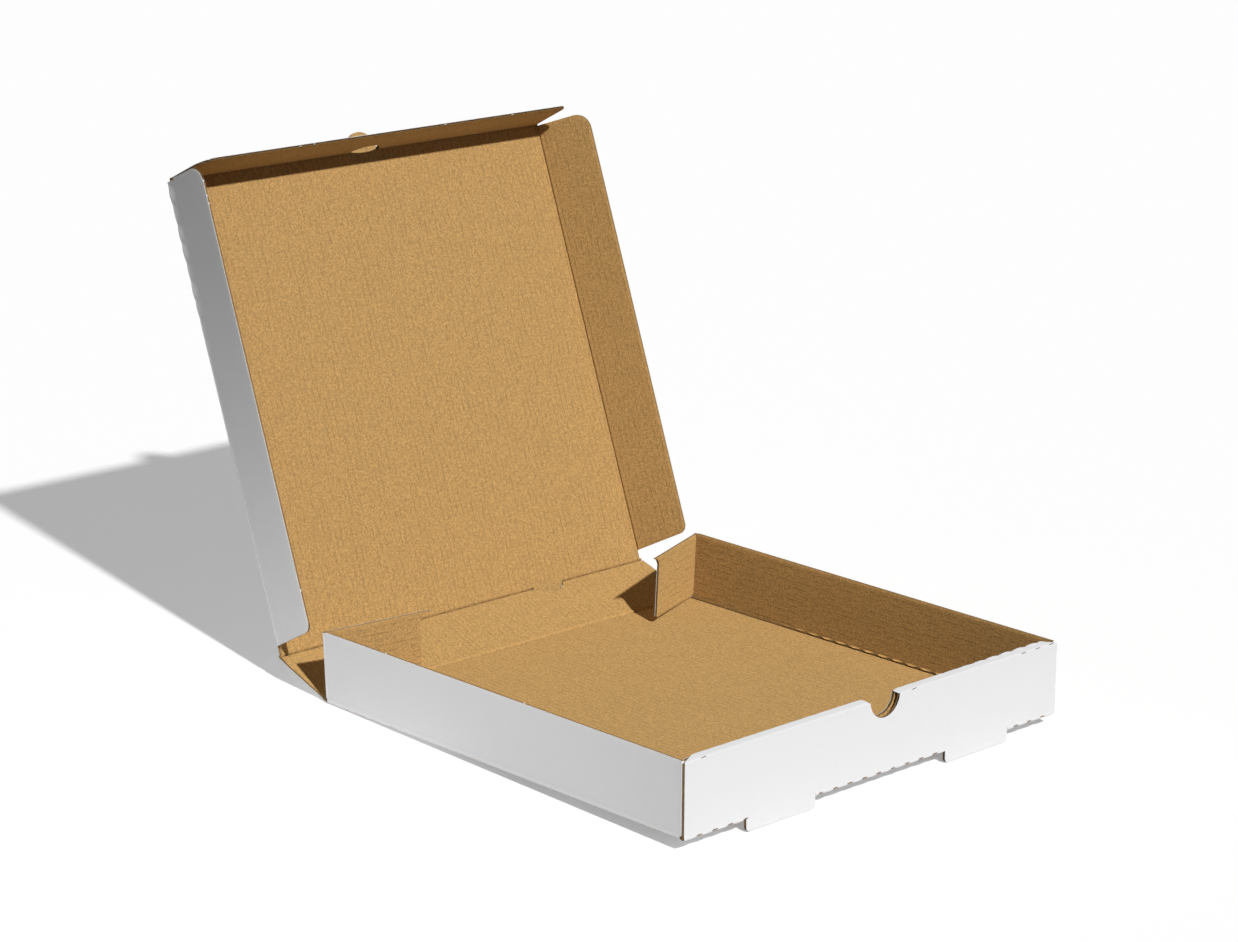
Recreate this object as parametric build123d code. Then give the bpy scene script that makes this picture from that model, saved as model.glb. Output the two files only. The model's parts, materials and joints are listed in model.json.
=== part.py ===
"""An open corrugated pizza box: a tray with a roll-over front, a rear wall, and a lid with its flaps.

Every loose panel is drawn flat in the frame of the crease that carries it: X along the crease, Y away
from it, Z from the white outside to the brown inside. Folding turns the panel about X. The tray has its
own frame, with X to the right, Y to the rear and the outside of its floor at Z = 0.
"""
import os
from math import atan2, cos, degrees, radians, sin, tan

from build123d import *

# board and folds
BOARD = 1.6             # thickness of the single-wall sheet
LAYER_GAP = 0.2         # between layers that lie against each other
BEND = 0.3              # inside radius of a fold that stays put
CUT_GAP = 0.4           # die-cut gap round a half-moon, a foot or a lug
BEAD = 0.5              # radius of the crushed bead that a working crease turns on
SEAT_GAP = 0.25         # from that bead to the panel that turns round it
SPARE_FOLD = 1.5        # degrees left between two bevels at the tightest fold

# tray
TRAY_WIDTH = 254.0
TRAY_DEPTH = 254.0      # front wall to rear crease
SIDE_HEIGHT = 37.3
FRONT_HEIGHT = 37.5     # rolled front, about level with the side walls
WALL_LEAN = 2.8         # degrees that the side walls lean out at their free rear ends
CORNER_FLAP = 62.0      # end of a side wall, folded in between the two front layers
NOTCH_RADIUS = 10.2     # finger notch in the rolled front
NOTCH_SHIFT = 3.3       # the notch sits a little to the right

# feet: tongues of the front wall cut out of the floor, and the inner layer's lugs in their slots
FOOT_WIDTH = 45.0
FOOT_DROP = 6.0
FOOT_SPACING = 134.4    # from the middle of one foot to the middle of the other
FOOT_SHIFT = 2.0        # the pair of feet sits a little to the right
FOOT_CORNER = 2.5
LUG_TIP = 0.3           # end of a lug above the floor's underside

# rear wall and lid
REAR_LENGTH = 39.2      # crease to crease
REAR_INSET = 1.0        # each end of the rear wall, inside the tray's side
REAR_SHOULDER = 7.0     # length of the slanted ends beside the lid's crease
LID_SIDE_EASE = 0.8     # the lid drops inside the tray's walls with this much room at each side
LID_FRONT_EASE = 1.0    # and this much at the front
LID_SHOULDER = 5.5
TAB_WIDTH = 19.6        # half-moon that stays in the lid's plane at the front crease
TAB_REACH = 9.6
VENT_WIDTH = 20.6       # half-moons that stay in the lid's plane at the rear crease
VENT_REACH = 6.5
VENT_OFFSET = 55.5

# lid flaps
SIDE_FLAP = 32.4
SIDE_FLAP_REAR = 6.0    # from the lid's rear crease to the flap's rear end
SIDE_FLAP_SLANT = 4.5   # how far that end slants forward at the free edge
SIDE_FLAP_FRONT = 2.2   # from the flap's front end to the lid's front crease
SIDE_FLAP_REAR_CORNER = 5.0
SIDE_FLAP_FRONT_CORNER = 9.0
FRONT_FLAP = 28.6
FRONT_FLAP_INSET = 0.6  # each end of the front flap, inside the lid's edge
FRONT_FLAP_TAPER = 1.2
FRONT_FLAP_LEFT_CORNER = 10.0
FRONT_FLAP_RIGHT_CORNER = 3.0

# dust flaps at the rear ends of the side walls
DUST_SETBACK = 2.0      # their crease, in front of the rear crease
DUST_FLAP = 53.0
DUST_FLOOR_GAP = 1.0    # under the flap
DUST_TOP_GAP = 0.4      # below the side wall's top
DUST_CORNER = 3.0
HOOK_REACH = 7.0        # pointed corner beyond the free edge
HOOK_DROP = 0.8         # its point, below the flap's top
HOOK_DEPTH = 5.0        # its root on the free edge
HOOK_HOLLOW = 0.9       # how far its underside curves in

# folds as the box stands open, in degrees up from flat
REAR_FOLD = 19.1
LID_FOLD = 50.8
LEFT_FLAP_FOLD = 86.0
RIGHT_FLAP_FOLD = 70.3
FRONT_FLAP_FOLD = 83.0
LEFT_DUST_FOLD = 102.0
RIGHT_DUST_FOLD = 113.5

# tightest folds that the creases are crushed for
REAR_TIGHTEST = 92.0
LID_TIGHTEST = 92.0
FLAP_TIGHTEST = 95.0
DUST_TIGHTEST = 120.0

OUTER_BEND = BEND + BOARD
FRONT_Y = -TRAY_DEPTH / 2
TRAPPED_Y = FRONT_Y + BOARD + LAYER_GAP             # outer side of the trapped corner flaps
INNER_Y = TRAPPED_Y + BOARD + LAYER_GAP             # outer side of the front's inner layer
INNER_FACE_Y = INNER_Y + BOARD
ROLL_UNDERSIDE = FRONT_HEIGHT - BOARD               # under the fold over the top of the front
REAR_WIDTH = TRAY_WIDTH - 2 * REAR_INSET
CREASE_WIDTH = TRAY_WIDTH - 2 * BOARD               # rear wall and lid where they meet
LID_WIDTH = CREASE_WIDTH - 2 * LID_SIDE_EASE
LID_LENGTH = TRAY_DEPTH / 2 - BOARD - INNER_FACE_Y - LID_FRONT_EASE
DUST_Y = TRAY_DEPTH / 2 - DUST_SETBACK
DUST_LOW = BOARD + DUST_FLOOR_GAP
DUST_TOP = SIDE_HEIGHT - DUST_TOP_GAP
FOOT_MIDDLES = (FOOT_SHIFT - FOOT_SPACING / 2, FOOT_SHIFT + FOOT_SPACING / 2)
VENT_MIDDLES = (-VENT_OFFSET, VENT_OFFSET)


def span_box(x_span, y_span, z_span):
    """A block given by its low and high ends along X, Y and Z."""
    low, high = zip(x_span, y_span, z_span)
    size = [b - a for a, b in zip(low, high)]
    return Pos(*low) * Box(*size, align=Align.MIN)


def run(profile, start, end):
    """A profile drawn in Y and Z, run along X from start to end."""
    return extrude(Plane((start, 0, 0), x_dir=(0, 1, 0), z_dir=(1, 0, 0)) * profile, end - start)


def outline(*points):
    return make_face(Polyline(*points, close=True))


def rounded(face, radius, chosen):
    """The face with the corners that chosen picks rounded off."""
    return fillet(face.vertices().filter_by(chosen), radius)


def half_moon(width, reach):
    """Chord on the crease, arc towards Y for a positive reach."""
    ends = (-width / 2, 0), (width / 2, 0)
    return make_face(Line(*ends) + ThreePointArc(ends[1], (0, reach), ends[0]))


def spans_between(width, middles, gap):
    """Stretches of a crease of this width that are left beside gaps at the given middles."""
    cuts = [-width / 2]
    for middle in middles:
        cuts += [middle - gap / 2, middle + gap / 2]
    cuts.append(width / 2)
    return list(zip(cuts[::2], cuts[1::2]))


def sheet(face):
    """Flat board whose outside lies one bead radius under the crease."""
    return extrude(Pos(0, 0, -BEAD) * face, BOARD)


def bevels(spans, tightest, side):
    """Wedges off the inner edge at a crease, on the carrying side (-1) or the turning side (1)."""
    slope = tan(radians(tightest + SPARE_FOLD) / 2)
    wedge = outline((0, 0), (side * BOARD * slope, BOARD), (-side * BOARD, BOARD), (-side * BOARD, 0))
    return [run(wedge, start, end) for start, end in spans]


def beads(spans, radius):
    return [run(Circle(radius), start, end) for start, end in spans]


def carried(panel, spans, tightest):
    """A panel whose edge at Y = 0 turns round a bead."""
    return panel - bevels(spans, tightest, 1) - beads(spans, BEAD + SEAT_GAP)


def carrying(panel, crease, spans, bead_spans, tightest):
    """A panel that holds the bead of a crease, which is given in the panel's own frame."""
    cut = [crease * wedge for wedge in bevels(spans, tightest, -1)]
    return panel - cut + [crease * bead for bead in beads(bead_spans, BEAD)]


def side_crease(side):
    """Crease of a lid flap in the lid's frame: side is -1 on the left and 1 on the right."""
    return Plane((side * LID_WIDTH / 2, 0, 0), x_dir=(0, -side, 0), z_dir=(0, 0, 1)).location


def dust_crease(side):
    """Crease of a dust flap in the tray's frame, on its side wall's leaning rear end."""
    lean = radians(WALL_LEAN)
    inward = Vector(-side * cos(lean), 0, sin(lean))
    upward = Vector(side * sin(lean), 0, cos(lean))
    origin = Vector(side * TRAY_WIDTH / 2, DUST_Y, 0) + inward * BEAD
    return Plane(origin, x_dir=upward * side, z_dir=inward).location


REAR_CREASE = Pos(0, TRAY_DEPTH / 2, BEAD)
LID_CREASE = Pos(0, REAR_LENGTH, 0)
FRONT_CREASE = Pos(0, LID_LENGTH, 0)

REAR_SPANS = spans_between(REAR_WIDTH, (), 0)
LID_SPANS = spans_between(CREASE_WIDTH, VENT_MIDDLES, VENT_WIDTH - 2 * BOARD)
LID_BEAD_SPANS = spans_between(CREASE_WIDTH, VENT_MIDDLES, VENT_WIDTH + 2 * CUT_GAP)
FRONT_FLAP_WIDTH = LID_WIDTH - 2 * FRONT_FLAP_INSET
FRONT_SPANS = spans_between(FRONT_FLAP_WIDTH, (0,), TAB_WIDTH)


def side_flap_span(side):
    """Ends of a lid flap along its own crease."""
    return sorted((-side * SIDE_FLAP_REAR, -side * (LID_LENGTH - SIDE_FLAP_FRONT)))


def dust_span(side):
    return sorted((side * DUST_LOW, side * DUST_TOP))


def trough_section(y, lean):
    """Floor and side walls across the tray at y, with the walls leaning out."""
    slope, across = tan(radians(lean)), BOARD / cos(radians(lean))
    wall = TRAY_WIDTH / 2
    top = wall + SIDE_HEIGHT * slope
    brim = top - across
    foot = wall + BOARD * slope - across
    section = outline((-top, SIDE_HEIGHT), (-wall, 0), (wall, 0), (top, SIDE_HEIGHT),
                      (brim, SIDE_HEIGHT), (foot, BOARD), (-foot, BOARD), (-brim, SIDE_HEIGHT))
    section = rounded(section, OUTER_BEND, lambda v: v.Y < BOARD / 2)
    section = rounded(section, BEND, lambda v: abs(v.Y - BOARD) < BEND / 2 and abs(v.X) < foot + BEND)
    return Plane((0, y, 0), x_dir=(1, 0, 0), z_dir=(0, -1, 0)) * section


def trough():
    """Floor and side walls as one bent strip, upright at the front and spread at the rear."""
    strip = loft([trough_section(TRAPPED_Y + OUTER_BEND, 0), trough_section(DUST_Y, WALL_LEAN)], ruled=True)
    floor_half = TRAY_WIDTH / 2 - OUTER_BEND
    return strip + span_box((-floor_half, floor_half), (TRAPPED_Y, TRAY_DEPTH / 2), (0, BOARD))


def corner_fold(side):
    """Front end of a side wall, turned in between the two layers of the front."""
    wall = side * TRAY_WIDTH / 2
    tip = side * (TRAY_WIDTH / 2 - CORNER_FLAP)
    rear = TRAPPED_Y + OUTER_BEND
    plan = outline((wall, rear), (wall, TRAPPED_Y), (tip, TRAPPED_Y), (tip, TRAPPED_Y + BOARD),
                   (wall - side * BOARD, TRAPPED_Y + BOARD), (wall - side * BOARD, rear))
    plan = rounded(plan, BOARD, lambda v: abs(v.X - wall) < BEND and abs(v.Y - TRAPPED_Y) < BEND)
    low = BOARD + LAYER_GAP
    return extrude(Pos(0, 0, low) * plan, ROLL_UNDERSIDE - LAYER_GAP - low)


def rolled_front():
    """Outer layer, double fold over the top and inner layer, with the finger notch through all."""
    low = BOARD + LAYER_GAP
    section = outline((FRONT_Y, 0), (FRONT_Y, FRONT_HEIGHT), (INNER_FACE_Y, FRONT_HEIGHT),
                      (INNER_FACE_Y, low), (INNER_Y, low), (INNER_Y, ROLL_UNDERSIDE),
                      (FRONT_Y + BOARD, ROLL_UNDERSIDE), (FRONT_Y + BOARD, BOARD),
                      (INNER_FACE_Y, BOARD), (INNER_FACE_Y, 0))
    section = rounded(section, OUTER_BEND, lambda v: v.X < FRONT_Y + BEND)
    section = rounded(section, OUTER_BEND, lambda v: v.X > INNER_Y + BEND and v.Y > ROLL_UNDERSIDE + BEND)
    section = rounded(section, BEND, lambda v: abs(v.Y - ROLL_UNDERSIDE) < BEND / 2
                      and FRONT_Y + BEND < v.X < INNER_Y + BEND / 2)
    front = run(section, -TRAY_WIDTH / 2, TRAY_WIDTH / 2)
    for side in (-1, 1):
        wall = side * (TRAY_WIDTH / 2 - BOARD - LAYER_GAP)
        beyond = side * TRAY_WIDTH / 2
        behind = FRONT_Y + BOARD, INNER_FACE_Y
        front -= span_box(sorted((wall, beyond)), behind, (0, ROLL_UNDERSIDE))
    face_on = Plane((NOTCH_SHIFT, FRONT_Y, FRONT_HEIGHT), x_dir=(1, 0, 0), z_dir=(0, -1, 0))
    return front - extrude(face_on * Circle(NOTCH_RADIUS), FRONT_Y - INNER_FACE_Y)


def foot(middle):
    """Tongue that hangs from the front wall's outer layer."""
    left, right = middle - FOOT_WIDTH / 2, middle + FOOT_WIDTH / 2
    top = OUTER_BEND + BEND
    face = outline((left, -FOOT_DROP), (right, -FOOT_DROP), (right, top), (left, top))
    face = rounded(face, FOOT_CORNER, lambda v: v.Y < 0)
    return extrude(Plane((0, FRONT_Y, 0), x_dir=(1, 0, 0), z_dir=(0, -1, 0)) * face, -BOARD)


def foot_slot(middle):
    half = FOOT_WIDTH / 2 + CUT_GAP
    return span_box((middle - half, middle + half), (FRONT_Y, FRONT_Y + BOARD + FOOT_DROP), (0, BOARD))


def lug(middle):
    """Tongue of the inner layer that locks into a foot's slot."""
    half = FOOT_WIDTH / 2 - CUT_GAP
    height = LUG_TIP, BOARD + 2 * LAYER_GAP
    return span_box((middle - half, middle + half), (INNER_Y, INNER_FACE_Y), height)


def make_tray():
    body = trough() + rolled_front() + [corner_fold(side) for side in (-1, 1)]
    body -= [foot_slot(middle) for middle in FOOT_MIDDLES]
    body += [foot(middle) for middle in FOOT_MIDDLES]
    body += [lug(middle) for middle in FOOT_MIDDLES]
    body = carrying(body, REAR_CREASE, REAR_SPANS, REAR_SPANS, REAR_TIGHTEST)
    for side in (-1, 1):
        spans = [dust_span(side)]
        body = carrying(body, dust_crease(side), spans, spans, DUST_TIGHTEST)
    return body


def make_rear_wall():
    side, end = REAR_WIDTH / 2, CREASE_WIDTH / 2
    shoulder = REAR_LENGTH - REAR_SHOULDER
    face = outline((-side, 0), (side, 0), (side, shoulder),
                   (end, REAR_LENGTH), (-end, REAR_LENGTH), (-side, shoulder))
    hole = half_moon(VENT_WIDTH + 2 * CUT_GAP, -VENT_REACH - CUT_GAP)
    face -= [Pos(middle, REAR_LENGTH) * hole for middle in VENT_MIDDLES]
    panel = carried(sheet(face), REAR_SPANS, REAR_TIGHTEST)
    return carrying(panel, LID_CREASE, LID_SPANS, LID_BEAD_SPANS, LID_TIGHTEST)


def make_lid_panel():
    side, end = LID_WIDTH / 2, CREASE_WIDTH / 2
    face = outline((-end, 0), (end, 0), (side, LID_SHOULDER),
                   (side, LID_LENGTH), (-side, LID_LENGTH), (-side, LID_SHOULDER))
    face += [Pos(middle, 0) * half_moon(VENT_WIDTH, -VENT_REACH) for middle in VENT_MIDDLES]
    face += Pos(0, LID_LENGTH) * half_moon(TAB_WIDTH, TAB_REACH)
    panel = carried(sheet(face), LID_SPANS, LID_TIGHTEST)
    panel = carrying(panel, FRONT_CREASE, FRONT_SPANS, FRONT_SPANS, FLAP_TIGHTEST)
    for hand in (-1, 1):
        spans = [side_flap_span(hand)]
        panel = carrying(panel, side_crease(hand), spans, spans, FLAP_TIGHTEST)
    return panel


def make_side_flap(side):
    rear = -side * SIDE_FLAP_REAR
    slant = -side * (SIDE_FLAP_REAR + SIDE_FLAP_SLANT)
    front = -side * (LID_LENGTH - SIDE_FLAP_FRONT)
    face = outline((rear, 0), (slant, SIDE_FLAP), (front, SIDE_FLAP), (front, 0))
    face = rounded(face, SIDE_FLAP_REAR_CORNER, lambda v: v.Y > 0 and abs(v.X - slant) < BOARD)
    face = rounded(face, SIDE_FLAP_FRONT_CORNER, lambda v: v.Y > 0 and abs(v.X - front) < BOARD)
    return carried(sheet(face), [side_flap_span(side)], FLAP_TIGHTEST)


def make_front_flap():
    root = FRONT_FLAP_WIDTH / 2
    tip = root - FRONT_FLAP_TAPER
    face = outline((-root, 0), (root, 0), (tip, FRONT_FLAP), (-tip, FRONT_FLAP))
    face = rounded(face, FRONT_FLAP_LEFT_CORNER, lambda v: v.Y > 0 and v.X < 0)
    face = rounded(face, FRONT_FLAP_RIGHT_CORNER, lambda v: v.Y > 0 and v.X > 0)
    face -= half_moon(TAB_WIDTH + 2 * CUT_GAP, TAB_REACH + CUT_GAP)
    return carried(sheet(face), FRONT_SPANS, FLAP_TIGHTEST)


def make_dust_flap(side):
    low, top = side * DUST_LOW, side * DUST_TOP
    point = side * (DUST_TOP - HOOK_DROP), DUST_FLAP + HOOK_REACH
    throat = side * (DUST_TOP - HOOK_DEPTH), DUST_FLAP
    middle = [(a + b) / 2 for a, b in zip(point, throat)]
    hollow = middle[0] + side * HOOK_HOLLOW, middle[1] - HOOK_HOLLOW
    edge = Polyline(point, (top, 0), (low, 0), (low, DUST_FLAP), throat)
    edge += ThreePointArc(throat, hollow, point)
    face = rounded(make_face(edge), DUST_CORNER, lambda v: abs(v.X - low) < BOARD and v.Y > 0)
    return carried(sheet(face), [dust_span(side)], DUST_TIGHTEST)


# the tray stands on its feet and its rear crease
tilt = atan2(FOOT_DROP, TRAY_DEPTH - BOARD)
standing = Location((0, 0, TRAY_DEPTH / 2 * sin(tilt)), (-degrees(tilt), 0, 0))
rear_frame = standing * REAR_CREASE * Rot(X=REAR_FOLD)
lid_frame = rear_frame * LID_CREASE * Rot(X=LID_FOLD)
frames = {
    "tray": standing,
    "rear_wall": rear_frame,
    "lid_panel": lid_frame,
    "lid_left_flap": lid_frame * side_crease(-1) * Rot(X=LEFT_FLAP_FOLD),
    "lid_right_flap": lid_frame * side_crease(1) * Rot(X=RIGHT_FLAP_FOLD),
    "lid_front_flap": lid_frame * FRONT_CREASE * Rot(X=FRONT_FLAP_FOLD),
    "left_dust_flap": standing * dust_crease(-1) * Rot(X=LEFT_DUST_FOLD),
    "right_dust_flap": standing * dust_crease(1) * Rot(X=RIGHT_DUST_FOLD),
}
flat = {
    "tray": make_tray(),
    "rear_wall": make_rear_wall(),
    "lid_panel": make_lid_panel(),
    "lid_left_flap": make_side_flap(-1),
    "lid_right_flap": make_side_flap(1),
    "lid_front_flap": make_front_flap(),
    "left_dust_flap": make_dust_flap(-1),
    "right_dust_flap": make_dust_flap(1),
}
panels = {name: frames[name] * panel for name, panel in flat.items()}
extent = Compound(children=[panel.solid() for panel in panels.values()]).bounding_box()
middle = extent.center()
centred = Pos(-middle.X, -middle.Y, -extent.min.Z)

os.makedirs("parts", exist_ok=True)
for name, panel in panels.items():
    export_step(centred * panel.solid(), f"parts/{name}.step")
    crease = Plane(centred * frames[name])
    print(name, "solids", len(panel.solids()), "crease at", crease.origin, "along", crease.x_dir)
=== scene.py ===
"""Looks of an open pizza box: panels of two liners over a fluted medium, joined by crushed creases."""

import json
import math

import bmesh
import bpy
import numpy as np
from bpy.props import FloatProperty, FloatVectorProperty, PointerProperty, StringProperty
from mathutils import Matrix, Vector


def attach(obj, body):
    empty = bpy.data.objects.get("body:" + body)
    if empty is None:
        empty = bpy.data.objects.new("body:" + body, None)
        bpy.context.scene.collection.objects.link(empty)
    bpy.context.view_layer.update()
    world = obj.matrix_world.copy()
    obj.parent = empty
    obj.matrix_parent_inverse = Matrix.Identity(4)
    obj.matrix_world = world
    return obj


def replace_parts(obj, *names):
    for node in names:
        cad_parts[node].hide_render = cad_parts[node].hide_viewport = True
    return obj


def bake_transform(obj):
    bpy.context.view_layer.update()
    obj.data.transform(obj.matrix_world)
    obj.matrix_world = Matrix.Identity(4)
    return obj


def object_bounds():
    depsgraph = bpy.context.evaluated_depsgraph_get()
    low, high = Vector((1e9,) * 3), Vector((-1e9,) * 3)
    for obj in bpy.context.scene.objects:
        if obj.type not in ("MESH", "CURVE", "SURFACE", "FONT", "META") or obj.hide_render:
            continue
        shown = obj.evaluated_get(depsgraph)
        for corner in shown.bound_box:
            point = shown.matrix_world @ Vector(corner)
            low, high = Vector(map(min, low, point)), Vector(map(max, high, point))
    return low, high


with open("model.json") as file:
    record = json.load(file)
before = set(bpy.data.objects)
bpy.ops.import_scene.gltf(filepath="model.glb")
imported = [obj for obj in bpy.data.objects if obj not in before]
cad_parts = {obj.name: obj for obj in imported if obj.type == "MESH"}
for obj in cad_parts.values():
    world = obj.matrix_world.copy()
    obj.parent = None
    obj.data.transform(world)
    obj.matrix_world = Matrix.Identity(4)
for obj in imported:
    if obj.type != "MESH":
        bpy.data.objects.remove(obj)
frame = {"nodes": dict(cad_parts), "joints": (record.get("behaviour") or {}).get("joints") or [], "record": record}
cad_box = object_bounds()

bl_info = {
    "name": "Pizza box",
    "version": (1, 0, 0),
    "blender": (4, 5, 0),
    "location": "3D View > Sidebar > Pizza box",
    "description": "Dresses an open corrugated pizza box with liners, flutes and creases",
    "category": "Add Mesh",
}

MM = 0.001
WHITE, KRAFT, FLUTE = 0, 1, 2
LEFT, RIGHT = -1, 1
SIDES = ((LEFT, "left"), (RIGHT, "right"))
HAIR = 0.01 * MM              # smallest distance between two columns of points
PER_FLUTE = 6                 # columns of points to a flute
SHARP = math.radians(38)      # bends beyond this stay crisp
RIM_ROWS = 0, 0.23, 0.6, 1.1  # rows of points across a crushed rim, in widths of it
WHITE_CRUSH = 0.2             # share of a cut edge's crush that the white face takes
FLUTE_FILL = 0.98             # share of the room between the liners that the flutes take up
CREASE_ROW = 0.18 * MM        # from one row of points to the next across a crease
PAPER_ROUGHNESS = 0.5         # spread of light given back by loose fibres
PAPER_SHEEN = 0.25            # specular level of uncoated paper
FIBRE_HEIGHT = 0.2 * MM       # height that the bump of the fibres stands for
STRIP = 1.25 * MM             # half width of a crease
CORNER = 0.7 * MM             # half width of the sharp bends between side walls and front
WALL_STRIP = 2.6 * MM         # half width of the creases under the side walls
DUST_STRIP = 2.0 * MM         # half width of the creases of the dust flaps
REAR_STRIP = 2.4 * MM         # half width of the shallow crease behind the floor
ROLL = 0.9 * MM               # rounding of the front's top fold
FLAP_ROOT = 6.0 * MM          # root of a side flap that bows out between the cuts of its crease


def size(name, millimetres, description):
    return FloatProperty(name=name, description=description, default=millimetres * MM, unit="LENGTH",
                         precision=5, step=0.01)


def colour(name, value, description):
    return FloatVectorProperty(name=name, description=description, default=value, size=3, subtype="COLOR",
                               min=0, max=1)


def fraction(name, value, description):
    return FloatProperty(name=name, description=description, default=value, min=0, max=1, subtype="FACTOR")


def power(name, value, description):
    return FloatProperty(name=name, description=description, default=value, min=0)


def position(name, metres, description):
    return FloatVectorProperty(name=name, description=description, default=metres, size=3, subtype="XYZ",
                               unit="LENGTH")


def direction(name, value, description):
    return FloatVectorProperty(name=name, description=description, default=value, size=3, subtype="XYZ")


class BoardSettings(bpy.types.PropertyGroup):
    thickness: size("Thickness", 1.6, "Single-wall sheet from face to face")
    liner: size("Liner", 0.22, "Thickness of the white and the kraft liner")
    medium: size("Medium", 0.16, "Thickness of the fluted paper between the liners")
    pitch: size("Flute pitch", 3.39, "From one flute to the next")
    washboard: size("Washboard", 0.04, "How far the kraft liner sinks between two flutes")
    white_washboard: size("White washboard", 0.012, "How far the white liner sinks between two flutes")
    bead: size("Bead", 0.5, "Turning axis of a crease, in from the white face")
    edge: size("Edge width", 1.5, "Width of the rim that the cutting die crushed")
    perforation: size("Perforation", 9.8, "From one cut of a perforated crease to the next")
    edge_crush: fraction("Edge crush", 0.26, "Share of the thickness lost at a cut edge")
    white: colour("White liner", (0.8, 0.8, 0.805), "Bleached outside of the board")
    kraft: colour("Kraft liner", (0.545, 0.334, 0.122), "Brown inside of the board")
    flute: colour("Fluted medium", (0.24, 0.15, 0.07), "Brown paper of the flutes and of cut edges")


class TraySettings(bpy.types.PropertyGroup):
    width: size("Width", 254, "Across the side walls' outer faces at the floor")
    depth: size("Depth", 254, "Front wall's face to the rear crease")
    side_height: size("Side height", 37.3, "Height of the side walls")
    front_height: size("Front height", 37.5, "Height of the rolled front")
    front_depth: size("Front depth", 5.2, "Rolled front from its outer to its inner face")
    sag: size("Sag", 0.6, "How far the rolled front sinks at its ends")
    sag_run: size("Sag run", 8, "Length over which it sinks")
    roll_taper: size("Roll taper", 9, "How far each end of the fold over the top is cut back at the rear")
    roll_rise: size("Roll rise", 0.5, "How much higher that fold is at the rear than at the front")
    layer_gap: size("Layer gap", 0.2, "Between layers that lie against each other")
    lean: FloatProperty(name="Wall lean", description="Outward lean of the side walls' free rear ends",
                        default=math.radians(2.8), unit="ROTATION")
    corner_flap: size("Corner flap", 62, "End of a side wall, trapped between the layers of the front")
    notch: size("Notch radius", 10.2, "Finger notch in the rolled front")
    notch_shift: size("Notch shift", 3.3, "Middle of the notch, to the right of the tray's middle")
    foot_width: size("Foot width", 45, "Width of a foot")
    foot_drop: size("Foot drop", 6, "How far a foot hangs below the floor")
    foot_spacing: size("Foot spacing", 134.4, "Middle of one foot to the middle of the other")
    foot_shift: size("Foot shift", 2, "Middle of the two feet, to the right of the tray's middle")
    foot_corner: size("Foot corner", 2.5, "Rounding of a foot's corners")
    rear_setback: size("Dust crease setback", 2, "Crease of the dust flaps, in front of the rear crease")


class LidSettings(bpy.types.PropertyGroup):
    tab_width: size("Tab width", 19.6, "Half-moon at the front crease")
    tab_reach: size("Tab reach", 9.6, "Height of that half-moon")
    vent_width: size("Vent width", 20.6, "Half-moons at the rear crease")
    vent_reach: size("Vent reach", 6.5, "Height of those half-moons")
    vent_offset: size("Vent offset", 55.5, "Middle of a rear half-moon, from the lid's middle")
    cut_gap: size("Cut gap", 0.4, "Die-cut gap round a half-moon")
    shoulder: size("Rear shoulder", 7, "Slanted ends of the rear wall beside the lid's crease")
    flap_rear: size("Flap rear end", 6, "Lid's rear crease to the rear end of a side flap")
    flap_slant: size("Flap slant", 4.5, "How far that end slants forward")
    flap_front_left: size("Left flap front", 0.5, "Front end of the left flap to the lid's front crease")
    flap_front_right: size("Right flap front", 1.4, "Front end of the right flap to that crease")
    flap_lead: size("Flap lead", 1.5, "How far the left flap's front end slants forward")
    flap_rear_corner: size("Flap rear corner", 5, "Rounding at the rear of a side flap")
    flap_front_corner: size("Flap front corner", 9, "Rounding at the front of a side flap")
    front_taper: size("Front taper", 1.2, "How far the right end of the front flap tapers")
    front_left_inset: size("Front left inset", 0.8, "Cut from the front flap to let the left flap pass")
    front_left_taper: size("Front left taper", 2.6, "How far that end tapers")
    front_left_corner: size("Front left corner", 10, "Rounding of the front flap on the left")
    front_right_corner: size("Front right corner", 3, "Rounding of the front flap on the right")
    hook_reach: size("Hook reach", 7, "Pointed corner of a dust flap beyond its free edge")
    hook_drop: size("Hook drop", 0.8, "Point of the hook, below the flap's top")
    hook_depth: size("Hook depth", 5, "Root of the hook on the free edge, below the flap's top")
    hook_hollow: size("Hook hollow", 0.9, "How far the hook's underside curves in")
    dust_corner: size("Dust corner", 1, "Rounding of a dust flap's lower corner")


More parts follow.
